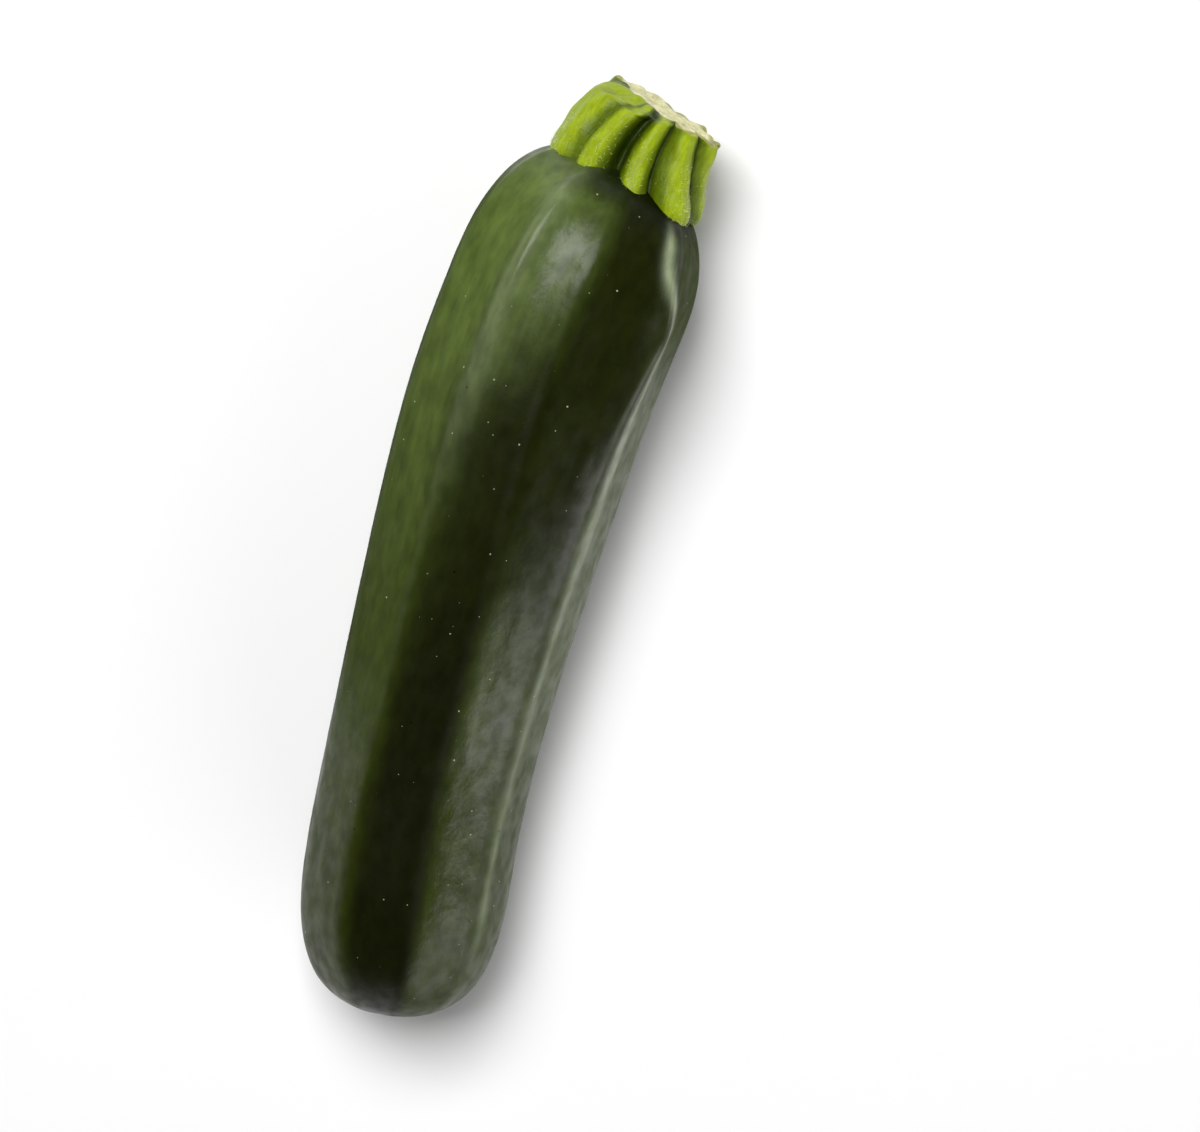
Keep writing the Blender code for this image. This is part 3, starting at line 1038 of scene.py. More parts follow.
@dataclass
class Fruit:
    """The fruit: a bent body of ten soft sides, with the same form as its solid and a finer surface."""

    line: Centreline = field(default_factory=Centreline)
    blossom_radius: float = 0.0219
    shoulder_radius: float = 0.0247
    taper_start: float = 0.044
    taper_end: float = 0.140
    blossom_cap: tuple[float, float] = (0.0320, 2.7)
    stem_cap: tuple[float, float] = (0.0350, 2.65)
    outer_bluntness: float = 3.10
    facings_at_blossom_end: tuple[float, ...] = (-84, -54, -6, 33, 64, 104, 146, 180, 214, 250)
    facings_at_stem_end: tuple[float, ...] = (-82, -44, -8, 19, 78, 104, 146, 180, 214, 252)
    sharpness: tuple[float, float] = (22.0, 60.0)
    fluting: tuple[float, float] = (0.55, 1.9)
    fluting_start: float = 0.095
    sunk_ridge: float = math.radians(48.5)
    sunk_ridge_reach: float = math.radians(22.0)
    sunk_ridge_share: float = 0.65
    sunk_ridge_start: float = 0.156
    sunk_ridge_end: float = 0.172
    pressed_depth: float = 0.0003
    belly_arch_radius: float = 3.0
    crest_lines: tuple[tuple[float, float, float], ...] = ((1.0, 0.135, 0.10), (3.0, 0.09, 0.0))
    crest_height: float = 0.00052
    crest_growth: Rise = Rise(0.115, 0.050)
    crest_start: Rise = Rise(0.010, 0.030)
    crest_end_reach: float = 0.004
    pattern: SkinPattern = SkinPattern()
    around: int = 360
    rings: int = 250
    swell: Ripples = Ripples(wavelength=0.011, stretch=2.2, waves=30, seed=4)
    dimples: Ripples = Ripples(wavelength=0.0032, stretch=1.8, waves=60, seed=9)
    swell_height: float = 0.00010
    dimple_height: float = 0.000028
    floor_clearance: float = 0.06
    smooth_blossom_end: Rise = Rise(0.0, 0.006)
    smooth_stem_end_reach: float = 0.010

    def __post_init__(self) -> None:
        """Finds the level shift that brings the formulas' frame to the solid's box."""
        self.first_facings = np.radians(self.facings_at_blossom_end)
        self.last_facings = np.radians(self.facings_at_stem_end)
        self.shift = np.zeros(3)
        along, angle, _ = self.grid()
        points = self.skin(along, angle)
        lowest, highest = (np.array(corner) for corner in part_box("fruit"))
        middle = 0.5 * (points.min(axis=(0, 1)) + points.max(axis=(0, 1)))
        self.shift[:2] = (0.5 * (lowest + highest) - middle)[:2]

    def body_radius(self, along: np.ndarray) -> np.ndarray:
        """The girth without its rounded ends: slimmer at the blossom end, fuller at the shoulder."""
        fullness = smooth_step((along - self.taper_start) / (self.taper_end - self.taper_start))
        return self.blossom_radius + (self.shoulder_radius - self.blossom_radius) * fullness

    def radius(self, along: np.ndarray, angle: np.ndarray | float = 0.0) -> np.ndarray:
        """The girth with its ends, each a superellipse quarter: 0 at the pole, 1 from the cap's length on.

        The shoulder under the stem is fuller on the outside of the bend.

        Args:
            along: Distance along the centreline.
            angle: Angle from the top.

        Returns:
            The radius before the ridges.
        """
        outer = np.clip(-np.sin(angle), 0.0, 1.0) ** 2
        shoulder = self.stem_cap[1] + (self.outer_bluntness - self.stem_cap[1]) * outer
        girth = self.body_radius(along)
        for distance, length, bluntness in (
            (along, *self.blossom_cap),
            (self.line.length - along, self.stem_cap[0], shoulder),
        ):
            share = np.clip(1.0 - distance / length, 0.0, 1.0)
            girth = girth * (1.0 - share**bluntness) ** (1.0 / bluntness)
        return girth

    def section(self, along: np.ndarray, angle: np.ndarray) -> np.ndarray:
        """The section's radius over the plain girth: ten flat sides that blend at the ridges.

        Each side is the line 1/cos of the angle from its facing, and the blend is their power mean. The sides
        hollow out into flutes towards the stem and swell towards the blossom end. One ridge sinks away near
        the stem.

        Args:
            along: Distance along the centreline.
            angle: Angle from the top.

        Returns:
            The factor on the radius.
        """
        share = along / self.line.length
        sharpness = self.sharpness[0] + share * (self.sharpness[1] - self.sharpness[0])
        nearness = 0.0
        for side in range(len(self.first_facings)):
            facing = listed_angle(side, share, self.first_facings, self.last_facings)
            nearness = nearness + np.clip(np.cos(angle - facing), 0.0, None) ** sharpness
        sides = nearness ** (-1.0 / sharpness)
        fluting = smooth_step((along - self.fluting_start) / (self.line.length - self.fluting_start))
        depth = self.fluting[0] + (self.fluting[1] - self.fluting[0]) * fluting
        from_ridge = (angle - self.sunk_ridge + math.pi) % FULL_TURN - math.pi
        sinking = smooth_step((along - self.sunk_ridge_start) / (self.sunk_ridge_end - self.sunk_ridge_start))
        sunk = self.sunk_ridge_share * bell(from_ridge / self.sunk_ridge_reach) * sinking
        return 1.0 + depth * (1.0 - sunk) * (sides - 1.0)

    def outward(self, along: np.ndarray, angle: np.ndarray, radius: np.ndarray,
                ahead: np.ndarray) -> np.ndarray:
        """Points at an angle and a radius from the centreline, and a way ahead along it.

        Args:
            along: Distance along the centreline from the blossom end.
            angle: Angle from the top, positive towards -Y.
            radius: Distance from the centreline.
            ahead: Distance further on in the centreline's direction.

        Returns:
            The points, with X, Y and Z on the last axis.
        """
        turn = self.line.heading(along)
        x, y = self.line.place(along)
        side = -radius * np.sin(angle)
        height = self.body_radius(along) + x**2 / (2.0 * self.belly_arch_radius) - self.pressed_depth
        across = [
            x - side * np.sin(turn) + ahead * np.cos(turn),
            y + side * np.cos(turn) + ahead * np.sin(turn),
            height + radius * np.cos(angle),
        ]
        return np.stack(across, axis=-1) + self.shift

    def skin(self, along: np.ndarray, angle: np.ndarray, sunk: np.ndarray | float = 0.0) -> np.ndarray:
        """The skin, with the flat spot underneath, sunk in by a depth.

        Args:
            along: Distance along the centreline.
            angle: Angle from the top.
            sunk: How far the skin is let in.

        Returns:
            The points, with X, Y and Z on the last axis.
        """
        radius = self.radius(along, angle) * self.section(along, angle)
        points = self.outward(along, angle, radius - sunk, np.zeros_like(radius))
        points[..., 2] = np.maximum(points[..., 2], 0.0)
        return points

    def grid(self) -> tuple[np.ndarray, np.ndarray, np.ndarray]:
        """Even steps over the skin from pole to pole, and round it by the ridges' phase.

        Returns:
            The distance along the centreline, the angle and the phase of each point.
        """
        length = self.line.length
        samples = 0.5 * length * (1.0 - np.cos(np.linspace(0.0, math.pi, self.line.samples)))
        steps = np.hypot(np.diff(samples), np.diff(self.radius(samples)))
        over_skin = np.concatenate([[0.0], np.cumsum(steps)])
        shares = (np.arange(self.rings) + 0.5) / self.rings
        along = np.interp(shares * over_skin[-1], over_skin, samples)[:, None]
        phase = np.arange(self.around)[None, :] / self.around * len(self.first_facings)
        phase = np.broadcast_to(phase, (self.rings, self.around))
        along = np.broadcast_to(along, (self.rings, self.around))
        angle = angle_at(phase + 0.5, along / length, self.first_facings, self.last_facings)
        return along, angle, phase

    def crests(self, phase: np.ndarray, along: np.ndarray) -> np.ndarray:
        """The narrow raised lines along two ridges near the stem, each a bell across its ridge.

        Args:
            phase: Ridge phase round the fruit.
            along: Distance along the centreline.

        Returns:
            Their height.
        """
        growth = self.crest_growth.at(along)
        lines = sum(bell((phase - ridge) / width) * (least + (1.0 - least) * growth)
                    for ridge, width, least in self.crest_lines)
        end = Rise(self.line.length, -self.crest_end_reach)
        return self.crest_height * faded(lines, along, (self.crest_start, end))

    def build(self, finish: SkinFinish, effects: Effects) -> bpy.types.Object:
        """Makes the fruit's mesh with its relief and masks, and dresses it.

        Args:
            finish: The skin's finish.
            effects: The shared node groups.

        Returns:
            The object, which replaces the solid's node.
        """
        along, angle, phase = self.grid()
        radius = self.radius(along, angle) * self.section(along, angle)
        straight = np.stack([along, radius * np.sin(angle), radius * np.cos(angle)], axis=-1)
        clear_of_floor = smooth_step((1.0 + np.cos(angle)) / self.floor_clearance)
        stem_end = Rise(self.line.length, -self.smooth_stem_end_reach)
        near_ends = self.smooth_blossom_end.at(along) * stem_end.at(along)
        lift = self.swell_height * (1.0 - self.swell.at(straight))
        lift = lift + self.dimple_height * (1.0 - self.dimples.at(straight))
        sunk = np.clip(lift, 0.0, None) * clear_of_floor * near_ends - self.crests(phase, along)
        points = self.skin(along, angle, sunk)
        poles = [self.outward(np.array(end), np.array(0.0), np.array(0.0), np.array(0.0))
                 for end in (0.0, self.line.length)]
        mesh = closed_surface("zucchini_fruit", points, *poles)
        pattern = self.pattern
        masks = {
            Mask.STRAIGHT: straight,
            # olive flank, partly painted light
            Mask.OLIVE_AND_LIGHT: pattern.olive(along, angle),
            # partly painted shade and sheen
            Mask.TONE_AND_SHADE: pattern.tone(phase, along),
            # painted shade under the stem and in a crease
            Mask.PAINTED_SHADE: pattern.painted_shade(phase, along),
            Mask.TIP: pattern.tip(radius, along < 0.5 * self.line.length),
            Mask.GLARE: pattern.glare(phase, along),
            # painted highlights and reflections
            Mask.LINE: pattern.pale(phase, along),
            Mask.RELIEF: pattern.relief(phase, along),
            Mask.WAX: pattern.wax(phase, along, angle),
        }
        for mask, values in masks.items():
            store(mesh, mask, with_poles(values))
        piece = placed(mesh, [finish.material(effects)])
        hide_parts("fruit")
        return piece


@dataclass
class Stem:
    """The ribbed stub of the stem, which clasps the shoulder with the feet of its ribs."""

    fruit: Fruit
    seat: float = 0.1815
    height: float = 0.0191
    root: float = 0.0040
    side_shift: float = -0.0009
    side_bow: float = 0.0012
    foot_radius: float = 0.0183
    rim_radius: float = 0.0145
    rim_rounding: float = 0.0010
    first_end_rounding: float = 0.0032
    first_end_span: float = 0.5
    first_end_drop: float = 0.0024
    first_end_edge: Rise = Rise(0.3, 0.6)
    first_end_wrap: Rise = Rise(0.50, -0.20)
    slant_sideways: float = math.radians(6.0)
    slant_upwards: float = math.radians(3.5)
    dish: float = 0.0008
    dish_edge: Rise = Rise(1.05, -1.0)
    ribs_at_foot: tuple[float, ...] = (-66, -33, 3, 46, 106, 132, 160, 192, 226, 262)
    ribs_at_rim: tuple[float, ...] = (-48, -18, 6, 30, 61, 102, 146, 190, 232, 272)
    rises_at_foot: tuple[float, ...] = (0.6, -1.6, -3.2, 1.0, -0.4, 0.0, 0.4, -0.4, 0.2, -0.4)
    rises_at_rim: tuple[float, ...] = (0.6, -0.3, -0.7, 0.3, 0.5, 0.0, 0.4, -0.4, 0.2, -0.4)
    groove_shares: tuple[float, ...] = (0.45, 1.0, 0.75, 0.70, 0.9, 0.6, 0.9, 0.7, 0.8, 0.15)
    groove_widths: tuple[float, ...] = (0.7, 1.7, 0.8, 0.7, 0.9, 0.7, 1.2, 0.7, 0.9, 0.7)
    groove_depth: tuple[float, float] = (0.0055, 0.0034)
    toe_top: float = 0.0025
    toe_rounding: float = 0.0050
    underside: tuple[float, float, int] = (0.15, 0.9, 6)
    face_shares: tuple[float, float] = (0.97, 0.04)
    around: int = 300
    side_rings: int = 70
    rim_rings: int = 16
    face_rings: int = 24
    wrinkles: Ripples = Ripples(wavelength=0.0016, stretch=5.0, waves=50, seed=21)
    lumps: Ripples = Ripples(wavelength=0.0045, stretch=1.6, waves=30, seed=22)
    wrinkle_height: float = 0.00005
    lump_height: float = 0.00028
    cut_lump_height: float = 0.00055
    cut_lump_reach: float = 0.0025
    flesh_edge: float = 0.0004

    def cut_in(self, phase: np.ndarray, way_up: np.ndarray) -> np.ndarray:
        """How deep the stem is cut in below its ribs: nothing on a crest, and a rounded groove between two.

        Args:
            phase: The way round, counted in ribs.
            way_up: 0 at the foot and 1 at the cut.

        Returns:
            The depth.
        """
        groove = np.floor(phase).astype(int) % len(self.ribs_at_foot)
        share = np.array(self.groove_shares)[groove]
        width = np.array(self.groove_widths)[groove]
        deepest = self.groove_depth[0] + (self.groove_depth[1] - self.groove_depth[0]) * way_up
        return share * deepest * (1.0 - np.abs(np.cos(math.pi * phase)) ** width)

    def rise(self, phase: np.ndarray, way_up: np.ndarray) -> np.ndarray:
        """How far the stem rises over the plain cone, from rib to rib and from the foot to the cut.

        Args:
            phase: The way round, counted in ribs.
            way_up: 0 at the foot and 1 at the cut.

        Returns:
            The height over the cone.
        """
        ribs = np.arange(len(self.ribs_at_foot) + 1)
        at_foot = 0.001 * np.interp(phase, ribs, [*self.rises_at_foot, self.rises_at_foot[0]])
        at_rim = 0.001 * np.interp(phase, ribs, [*self.rises_at_rim, self.rises_at_rim[0]])
        return at_foot + (at_rim - at_foot) * way_up

    def first_rib(self, phase: np.ndarray) -> np.ndarray:
        """How near a place is to the first rib: 1 on it, falling off as a bell on both sides.

        Args:
            phase: The way round, counted in ribs.

        Returns:
            The nearness.
        """
        count = len(self.ribs_at_foot)
        away = np.abs((phase + 0.5 * count) % count - 0.5 * count)
        return bell(away / self.first_end_span)

    def towards_first(self, phase: np.ndarray, share: np.ndarray) -> np.ndarray:
        """How far a place on the cut lies towards the first rib, as a share of the radius."""
        rim = np.radians(self.ribs_at_rim)
        return share * np.cos(angle_at(phase, np.ones_like(share), rim, rim) - rim[0])

    def end_rounding(self, height: np.ndarray, phase: np.ndarray) -> np.ndarray:
        """How far the side draws in to the cut: a quarter circle, small all round but large on the first rib.

        Args:
            height: Height over the seat.
            phase: The way round, counted in ribs.

        Returns:
            The distance that the radius loses.
        """
        size = self.rim_rounding + (self.first_end_rounding - self.rim_rounding) * self.first_rib(phase)
        climb = np.clip((height - self.height + size) / size, 0.0, 1.0)
        return size * (1.0 - np.sqrt(1.0 - climb**2))

    def surface(self, height: np.ndarray, phase: np.ndarray, share: np.ndarray,
                sunk: np.ndarray | float = 0.0) -> tuple[np.ndarray, np.ndarray]:
        """The stem at a height over its seat: a ribbed cone that bows sideways, under a slanted cut.

        Args:
            height: Height over the seat, along the fruit's centreline.
            phase: The way round, counted in ribs.
            share: 1 on the side, and less towards the axis, on the cut and underneath.
            sunk: How far the surface is let in.

        Returns:
            The points, and the same points unbent, as height, across and up.
        """
        way_up = np.clip(height / self.height, 0.0, 1.0)
        toe_depth = np.clip((self.toe_top - height) / (self.toe_top + self.root), 0.0, 1.0)
        cone = self.foot_radius + (self.rim_radius - self.foot_radius) * way_up + self.rise(phase, way_up)
        side = cone - self.toe_rounding * toe_depth**2 - self.cut_in(phase, way_up)
        side = side - self.end_rounding(height, phase)
        radius = share * (side - sunk)
        angle = angle_at(phase, way_up, np.radians(self.ribs_at_foot), np.radians(self.ribs_at_rim))
        slant = -radius * (
            np.sin(angle) * math.tan(self.slant_sideways) + np.cos(angle) * math.tan(self.slant_upwards)
        )
        drop = self.first_end_drop * way_up**4 * self.first_end_edge.at(self.towards_first(phase, share))
        ahead = height + way_up**2 * slant - drop
        points = self.fruit.outward(np.full_like(radius, self.seat), angle, radius, ahead)
        points[..., 1] += self.side_shift + self.side_bow * np.sin(math.pi * way_up)
        straight = np.stack([height + 0.0 * radius, radius * np.sin(angle), radius * np.cos(angle)], axis=-1)
        return points, straight

    def outline(self) -> np.ndarray:
        """The half section from under the foot to the cut's middle.

        Returns:
            Height and share of the radius, one row for each ring.
        """
        under = [(-self.root, share) for share in np.linspace(*self.underside)]
        top = self.height - self.first_end_rounding
        side = [(height, 1.0) for height in np.linspace(-self.root, top, self.side_rings)]
        turns = np.linspace(0.0, 0.5 * math.pi, self.rim_rings + 1)[1:]
        rim = [(top + self.first_end_rounding * math.sin(turn), 1.0) for turn in turns]
        shares = np.linspace(*self.face_shares, self.face_rings)
        face = [(self.height - self.dish * float(self.dish_edge.at(share)), share) for share in shares]
        return np.array([*under, *side, *rim, *face])

    def flesh(self, height: np.ndarray, phase: np.ndarray, share: np.ndarray) -> np.ndarray:
        """Where the flesh is bare: over the cut and just round its edge.

        Green rind wraps the first rib's end.

        Args:
            height: Height over the seat.
            phase: The way round, counted in ribs.
            share: Share of the way out from the axis.

        Returns:
            0 on rind and 1 on flesh, with a half at the border.
        """
        past_edge = (height - self.height + self.flesh_edge) / self.flesh_edge + 0.5
        over_edge = np.where(share < 1.0, 1.0, past_edge)
        return np.clip(over_edge, 0.0, 1.0) * self.first_end_wrap.at(self.towards_first(phase, share))

    def build(self, finish: StemFinish, effects: Effects) -> bpy.types.Object:
        """Makes the stem's mesh with wrinkled sides and a lumpy cut, and dresses it.

        Args:
            finish: The stem's finish.
            effects: The shared node groups.

        Returns:
            The object, which replaces the solid's node.
        """
        outline = self.outline()
        count = len(self.ribs_at_foot)
        turn = np.arange(self.around) / self.around
        phase = np.broadcast_to(turn * count, (len(outline), self.around))
        height = np.broadcast_to(outline[:, :1], phase.shape)
        share = np.broadcast_to(outline[:, 1:], phase.shape)
        _, straight = self.surface(height, phase, share)
        lumps = 1.0 - self.lumps.at(straight)
        relief = self.wrinkle_height * (1.0 - self.wrinkles.at(straight)) + self.lump_height * lumps
        points, straight = self.surface(height, phase, share, relief)
        top = smooth_step((height - self.height + self.cut_lump_reach) / self.cut_lump_reach)
        along = self.fruit.line.heading(np.array(self.seat))
        down = self.cut_lump_height * np.clip(lumps, 0.0, None) * top
        points[..., 0] -= down * math.cos(along)
        points[..., 1] -= down * math.sin(along)
        poles = [points[0].mean(axis=0), points[-1].mean(axis=0)]
        mesh = closed_surface("zucchini_stem", points, *poles)
        way_up = np.clip(height / self.height, 0.0, 1.0)
        deepest = self.groove_depth[0] + (self.groove_depth[1] - self.groove_depth[0]) * way_up
        store(mesh, Mask.STRAIGHT, with_poles(straight))
        # groove depth, for the painted shade in the grooves
        store(mesh, Mask.GROOVE_SHADE, with_poles(self.cut_in(phase, way_up) / deepest))
        store(mesh, Mask.FLESH, with_poles(self.flesh(height, phase, share)))
        store(mesh, Mask.SPREAD, with_poles(share))
        piece = placed(mesh, [finish.material(effects)])
        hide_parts("stem")
        return piece


def unit(vectors: np.ndarray) -> np.ndarray:
    """Vectors, one in each row, brought to a length of 1."""
    return vectors / np.linalg.norm(vectors, axis=1, keepdims=True)


@dataclass
class StemHairs:
    """Fine three-sided hairs on the ribs' feet and sides, each a slim cone that leans at random."""

    stem: Stem
    count: int = 1600
    seed: int = 31
    lowest: float = -0.002
    reach: float = 0.016
    crowding: tuple[float, float] = (1.0, 2.2)
    scatter: float = 0.16
    lean: float = 0.45
    length: tuple[float, float] = (0.0003, 0.0008)
    thickness: tuple[float, float] = (0.00003, 0.00005)
    root: float = 0.0002
    probe_up: float = 0.0003
    probe_round: float = 0.02

    def stand(self, height: np.ndarray, phase: np.ndarray) -> tuple[np.ndarray, ...]:
        """Where the hairs stand on the rind, and which way is up, sideways and outwards there.

        Args:
            height: Height over the stem's seat.
            phase: The way round, counted in ribs.

        Returns:
            The places and the three directions.
        """
        share = np.ones(self.count)
        here, _ = self.stem.surface(height, phase, share)
        above, _ = self.stem.surface(height + self.probe_up, phase, share)
        beside, _ = self.stem.surface(height, phase + self.probe_round, share)
        up, side = unit(above - here), unit(beside - here)
        out = np.cross(side, up)
        seat, zeros = np.full(self.count, self.stem.seat), np.zeros(self.count)
        away = here - self.stem.fruit.outward(seat, zeros, zeros, height)
        return here, up, side, out * np.sign(np.sum(out * away, axis=1, keepdims=True))

    def build(self, finish: HairFinish, effects: Effects) -> bpy.types.Object:
        """Makes the hairs' mesh and dresses it.

        Args:
            finish: The hairs' finish.
            effects: The shared node groups.

        Returns:
            The object.
        """
        draw = np.random.default_rng(self.seed)
        ribs = len(self.stem.ribs_at_foot)
        height = self.lowest + self.reach * draw.beta(*self.crowding, self.count)
        crest = np.round(draw.uniform(0.0, ribs, self.count))
        phase = (crest + draw.normal(0.0, self.scatter, self.count)) % ribs
        here, up, side, out = self.stand(height, phase)
        lean = unit(out + draw.normal(0.0, self.lean, (self.count, 3)))
        length = draw.uniform(*self.length, (self.count, 1))
        thick = draw.uniform(*self.thickness, (self.count, 1))
        root = here - self.root * out
        feet = [root + thick * (math.cos(turn) * side + math.sin(turn) * up)
                for turn in np.linspace(0.0, FULL_TURN, 4)[:3]]
        points = np.stack([*feet, root + (length + self.root) * lean], axis=1)
        sides = np.array([[0, 1, 3], [1, 2, 3], [2, 0, 3], [2, 1, 0]])
        faces = (np.arange(self.count)[:, None, None] * 4 + sides).reshape(-1, 3)
        mesh = bpy.data.meshes.new("stem_hairs")
        mesh.from_pydata(points.reshape(-1, 3).tolist(), [], faces.tolist())
        return placed(mesh, [finish.material(effects)])


@dataclass
class BlossomScar:
    """The small corky button where the flower dropped off."""

    fruit: Fruit
    drop: float = 0.0030
    radius: float = 0.0040
    height: float = 0.00085
    root: float = 0.0015
    root_shares: tuple[float, ...] = (0.3, 0.6, 0.9)
    side_top: float = 0.4
    side_rings: int = 5
    rim_rounding: float = 0.22
    rim_rings: int = 6
    dimple: float = 0.0004
    dimple_edge: Rise = Rise(0.78, -0.4)
    face_shares: tuple[float, float, int] = (0.74, 0.06, 14)
    around: int = 96
    crumbs: Ripples = Ripples(wavelength=0.0011, stretch=1.0, waves=40, seed=41)
    crumb_height: float = 0.00007

    def outline(self) -> np.ndarray:
        """The half section from its root to the dimple in its face.

        Returns:
            Height and share of the radius, one row for each ring.
        """
        root = [(-self.root, share) for share in self.root_shares]
        heights = np.linspace(-self.root, self.side_top * self.height, self.side_rings + 1)[1:]
        narrow = self.root_shares[-1]
        side = [(height, narrow + (1.0 - narrow) * (height + self.root) / (heights[-1] + self.root))
                for height in heights]
        turns = np.linspace(0.0, 0.5 * math.pi, self.rim_rings + 1)[1:]
        rim = [(self.height * (self.side_top + (1.0 - self.side_top) * math.sin(turn)),
                1.0 - self.rim_rounding * (1.0 - math.cos(turn))) for turn in turns]
        face = [(self.height - self.dimple * float(self.dimple_edge.at(share)), share)
                for share in np.linspace(*self.face_shares)]
        return np.array([*root, *side, *rim, *face])

    def build(self, finish: CorkFinish, effects: Effects) -> bpy.types.Object:
        """Makes the scar's mesh, crumbly all over, and dresses it.

        Args:
            finish: The cork's finish.
            effects: The shared node groups.

        Returns:
            The object, which replaces the solid's node.
        """
        outline = self.outline()
        angle = np.broadcast_to(np.arange(self.around) / self.around * FULL_TURN, (len(outline), self.around))
        height = np.broadcast_to(outline[:, :1], angle.shape)
        radius = self.radius * np.broadcast_to(outline[:, 1:], angle.shape)
        straight = np.stack([height, radius * np.sin(angle), radius * np.cos(angle)], axis=-1)
        crumb = self.crumb_height * (1.0 - self.crumbs.at(straight))
        end = np.zeros_like(angle)
        points = self.fruit.outward(end, angle, radius - crumb, crumb - height)
        points[..., 2] -= self.drop
        poles = [points[0].mean(axis=0), points[-1].mean(axis=0)]
        mesh = closed_surface("blossom_scar_cork", points, *poles)
        store(mesh, Mask.STRAIGHT, with_poles(straight))
        piece = placed(mesh, [finish.material(effects)])
        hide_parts("blossom_scar")
        return piece


@dataclass(frozen=True)
class Softbox:
    """A rectangular light at a distance from the fruit's middle, turned towards it; angles in degrees."""

    name: str
    azimuth: float
    elevation: float
    distance: float
    width: float
    height: float
    radiance: float

    def build(self, target: Vector) -> bpy.types.Object:
        """Makes the light: its power is its radiance times pi times its area.

        Args:
            target: The fruit's middle.

        Returns:
            The lamp.
        """
        light = bpy.data.lights.new(self.name, "AREA")
        light.shape = "RECTANGLE"
        light.size = self.width
        light.size_y = self.height
        light.energy = self.radiance * math.pi * self.width * self.height
        lamp = bpy.data.objects.new(self.name, light)
        azimuth, elevation = math.radians(self.azimuth), math.radians(self.elevation)
        away = Vector((math.cos(azimuth) * math.cos(elevation), math.sin(azimuth) * math.cos(elevation),
                       math.sin(elevation)))
        lamp.location = target + self.distance * away
        lamp.rotation_euler = away.to_track_quat("Z", "Y").to_euler()
        lamp.visible_camera = False
        bpy.context.scene.collection.objects.link(lamp)
        return lamp


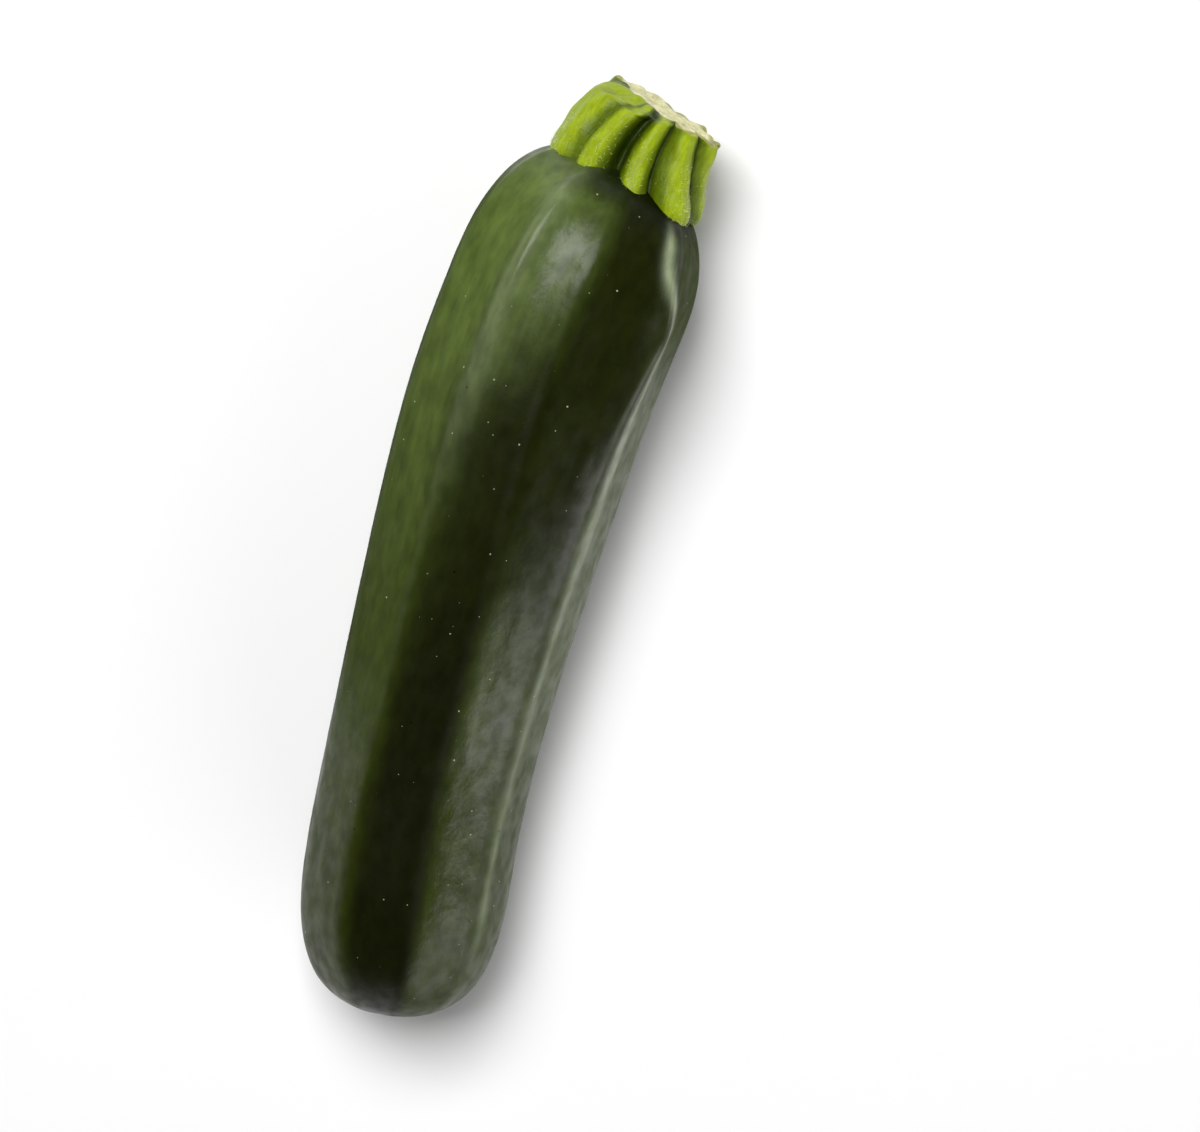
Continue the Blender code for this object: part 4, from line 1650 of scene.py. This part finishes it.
@dataclass
class Studio:
    """A white table under a high softbox, with a low softbox and a small lamp at its sides.

    The room is bright at the horizon and dim overhead.
    """

    target: Vector = field(default_factory=lambda: Vector((0.0, 0.0, 0.02)))
    softboxes: tuple[Softbox, ...] = (
        Softbox("high_softbox", azimuth=33.0, elevation=66.0, distance=1.2,
                width=0.58, height=0.58, radiance=15.5),
        Softbox("side_lamp", azimuth=-72.0, elevation=10.0, distance=1.2,
                width=0.20, height=0.14, radiance=8.0),
        Softbox("low_softbox", azimuth=-127.0, elevation=21.5, distance=1.2,
                width=1.07, height=0.80, radiance=2.1),
    )
    horizon: float = 0.60
    zenith: float = 0.03
    dimming: tuple[float, float] = (0.17, 0.57)
    floor_albedo: float = 0.90
    floor_radius: float = 4.0
    floor_sides: int = 96
    cove_start: float = 0.30
    cove_end: float = 0.90
    eye: tuple[float, float, float] = (0.1260, -0.0228, 0.8982)
    tilt: float = math.radians(8.0)
    roll: float = math.radians(16.294)
    lens: float = 127.0
    sensor: float = 36.0

    def build_camera(self) -> bpy.types.Object:
        """Makes the camera, which looks down on the fruit with the stem to the picture's upper right.

        Returns:
            The camera.
        """
        back = Vector((math.sin(self.tilt), 0.0, math.cos(self.tilt)))
        level_up = Vector((math.cos(self.tilt), 0.0, -math.sin(self.tilt)))
        level_right = level_up.cross(back)
        up = level_up * math.cos(self.roll) - level_right * math.sin(self.roll)
        right = level_right * math.cos(self.roll) + level_up * math.sin(self.roll)
        data = bpy.data.cameras.new("camera")
        data.lens = self.lens
        data.sensor_width = self.sensor
        data.sensor_fit = "HORIZONTAL"
        data.clip_start = 0.01
        camera = bpy.data.objects.new("camera", data)
        turn = Matrix((right, up, back)).transposed().to_4x4()
        camera.matrix_world = Matrix.Translation(self.eye) @ turn
        bpy.context.scene.collection.objects.link(camera)
        bpy.context.scene.camera = camera
        return camera

    def build_floor(self) -> bpy.types.Object:
        """Makes the table top, a wide disc that glows white far away, as a lit studio cove does.

        Returns:
            The table top.
        """
        turns = np.linspace(0.0, FULL_TURN, self.floor_sides + 1)[:-1]
        rim = np.stack([np.cos(turns), np.sin(turns), np.zeros_like(turns)], axis=-1) * self.floor_radius
        mesh = bpy.data.meshes.new("table_top")
        mesh.from_pydata(rim.tolist(), [], [list(range(len(turns)))])
        white = (self.floor_albedo,) * 3
        material, graph, shader = new_material("table_white", {"Base Color": white, "Roughness": 0.9,
                                                               "Specular IOR Level": 0.0,
                                                               "Emission Color": (1.0, 1.0, 1.0)})
        place = graph.node("ShaderNodeTexCoord").outputs["Object"]
        away = graph.node("ShaderNodeVectorMath", {"operation": "LENGTH"}, {0: place}).outputs["Value"]
        graph.feed(shader.inputs["Emission Strength"], graph.ramp(away, self.cove_start, self.cove_end))
        mesh.materials.append(material)
        floor = bpy.data.objects.new("table_top", mesh)
        bpy.context.scene.collection.objects.link(floor)
        return floor

    def build_room(self) -> None:
        """Lights the room: bright at the horizon, dim overhead, and plain white for the camera."""
        world = bpy.data.worlds.new("studio")
        world.use_nodes = True
        bpy.context.scene.world = world
        graph = Graph(world.node_tree)
        background = world.node_tree.nodes["Background"]
        way = graph.node("ShaderNodeTexCoord").outputs["Generated"]
        rise = graph.node("ShaderNodeSeparateXYZ", None, {0: way}).outputs["Z"]
        glow = graph.ramp(rise, *self.dimming, self.horizon, self.zenith)
        seen = graph.node("ShaderNodeLightPath").outputs["Is Camera Ray"]
        graph.feed(background.inputs["Strength"], graph.math("MAXIMUM", glow, seen))
        graph.feed(background.inputs["Color"], (1.0, 1.0, 1.0))

    def build(self) -> None:
        """Sets up camera, floor, room and lights."""
        self.build_camera()
        self.build_floor()
        self.build_room()
        for softbox in self.softboxes:
            softbox.build(self.target)
        bpy.context.scene.view_settings.view_transform = "Standard"


def report(piece: bpy.types.Object) -> None:
    """Logs a piece's size in millimetres and its number of triangles.

    Args:
        piece: The piece.
    """
    triangles = sum(len(face.vertices) - 2 for face in piece.data.polygons)
    size = " x ".join(f"{1000.0 * side:.1f}" for side in piece.dimensions)
    LOG.info("%s: %s mm, %d triangles", piece.name, size, triangles)


def main() -> None:
    """Builds the zucchini and its studio, and reports each piece."""
    logging.basicConfig(level=logging.INFO, format="%(name)s: %(message)s")
    effects = Effects()
    fruit = Fruit()
    stem = Stem(fruit)
    scar = BlossomScar(fruit)
    pieces = [
        fruit.build(SkinFinish(), effects),
        stem.build(StemFinish(), effects),
        StemHairs(stem).build(HairFinish(), effects),
        scar.build(CorkFinish(), effects),
    ]
    Studio().build()
    bpy.context.view_layer.update()
    for piece in pieces:
        report(piece)


if __name__ == "__main__":
    main()
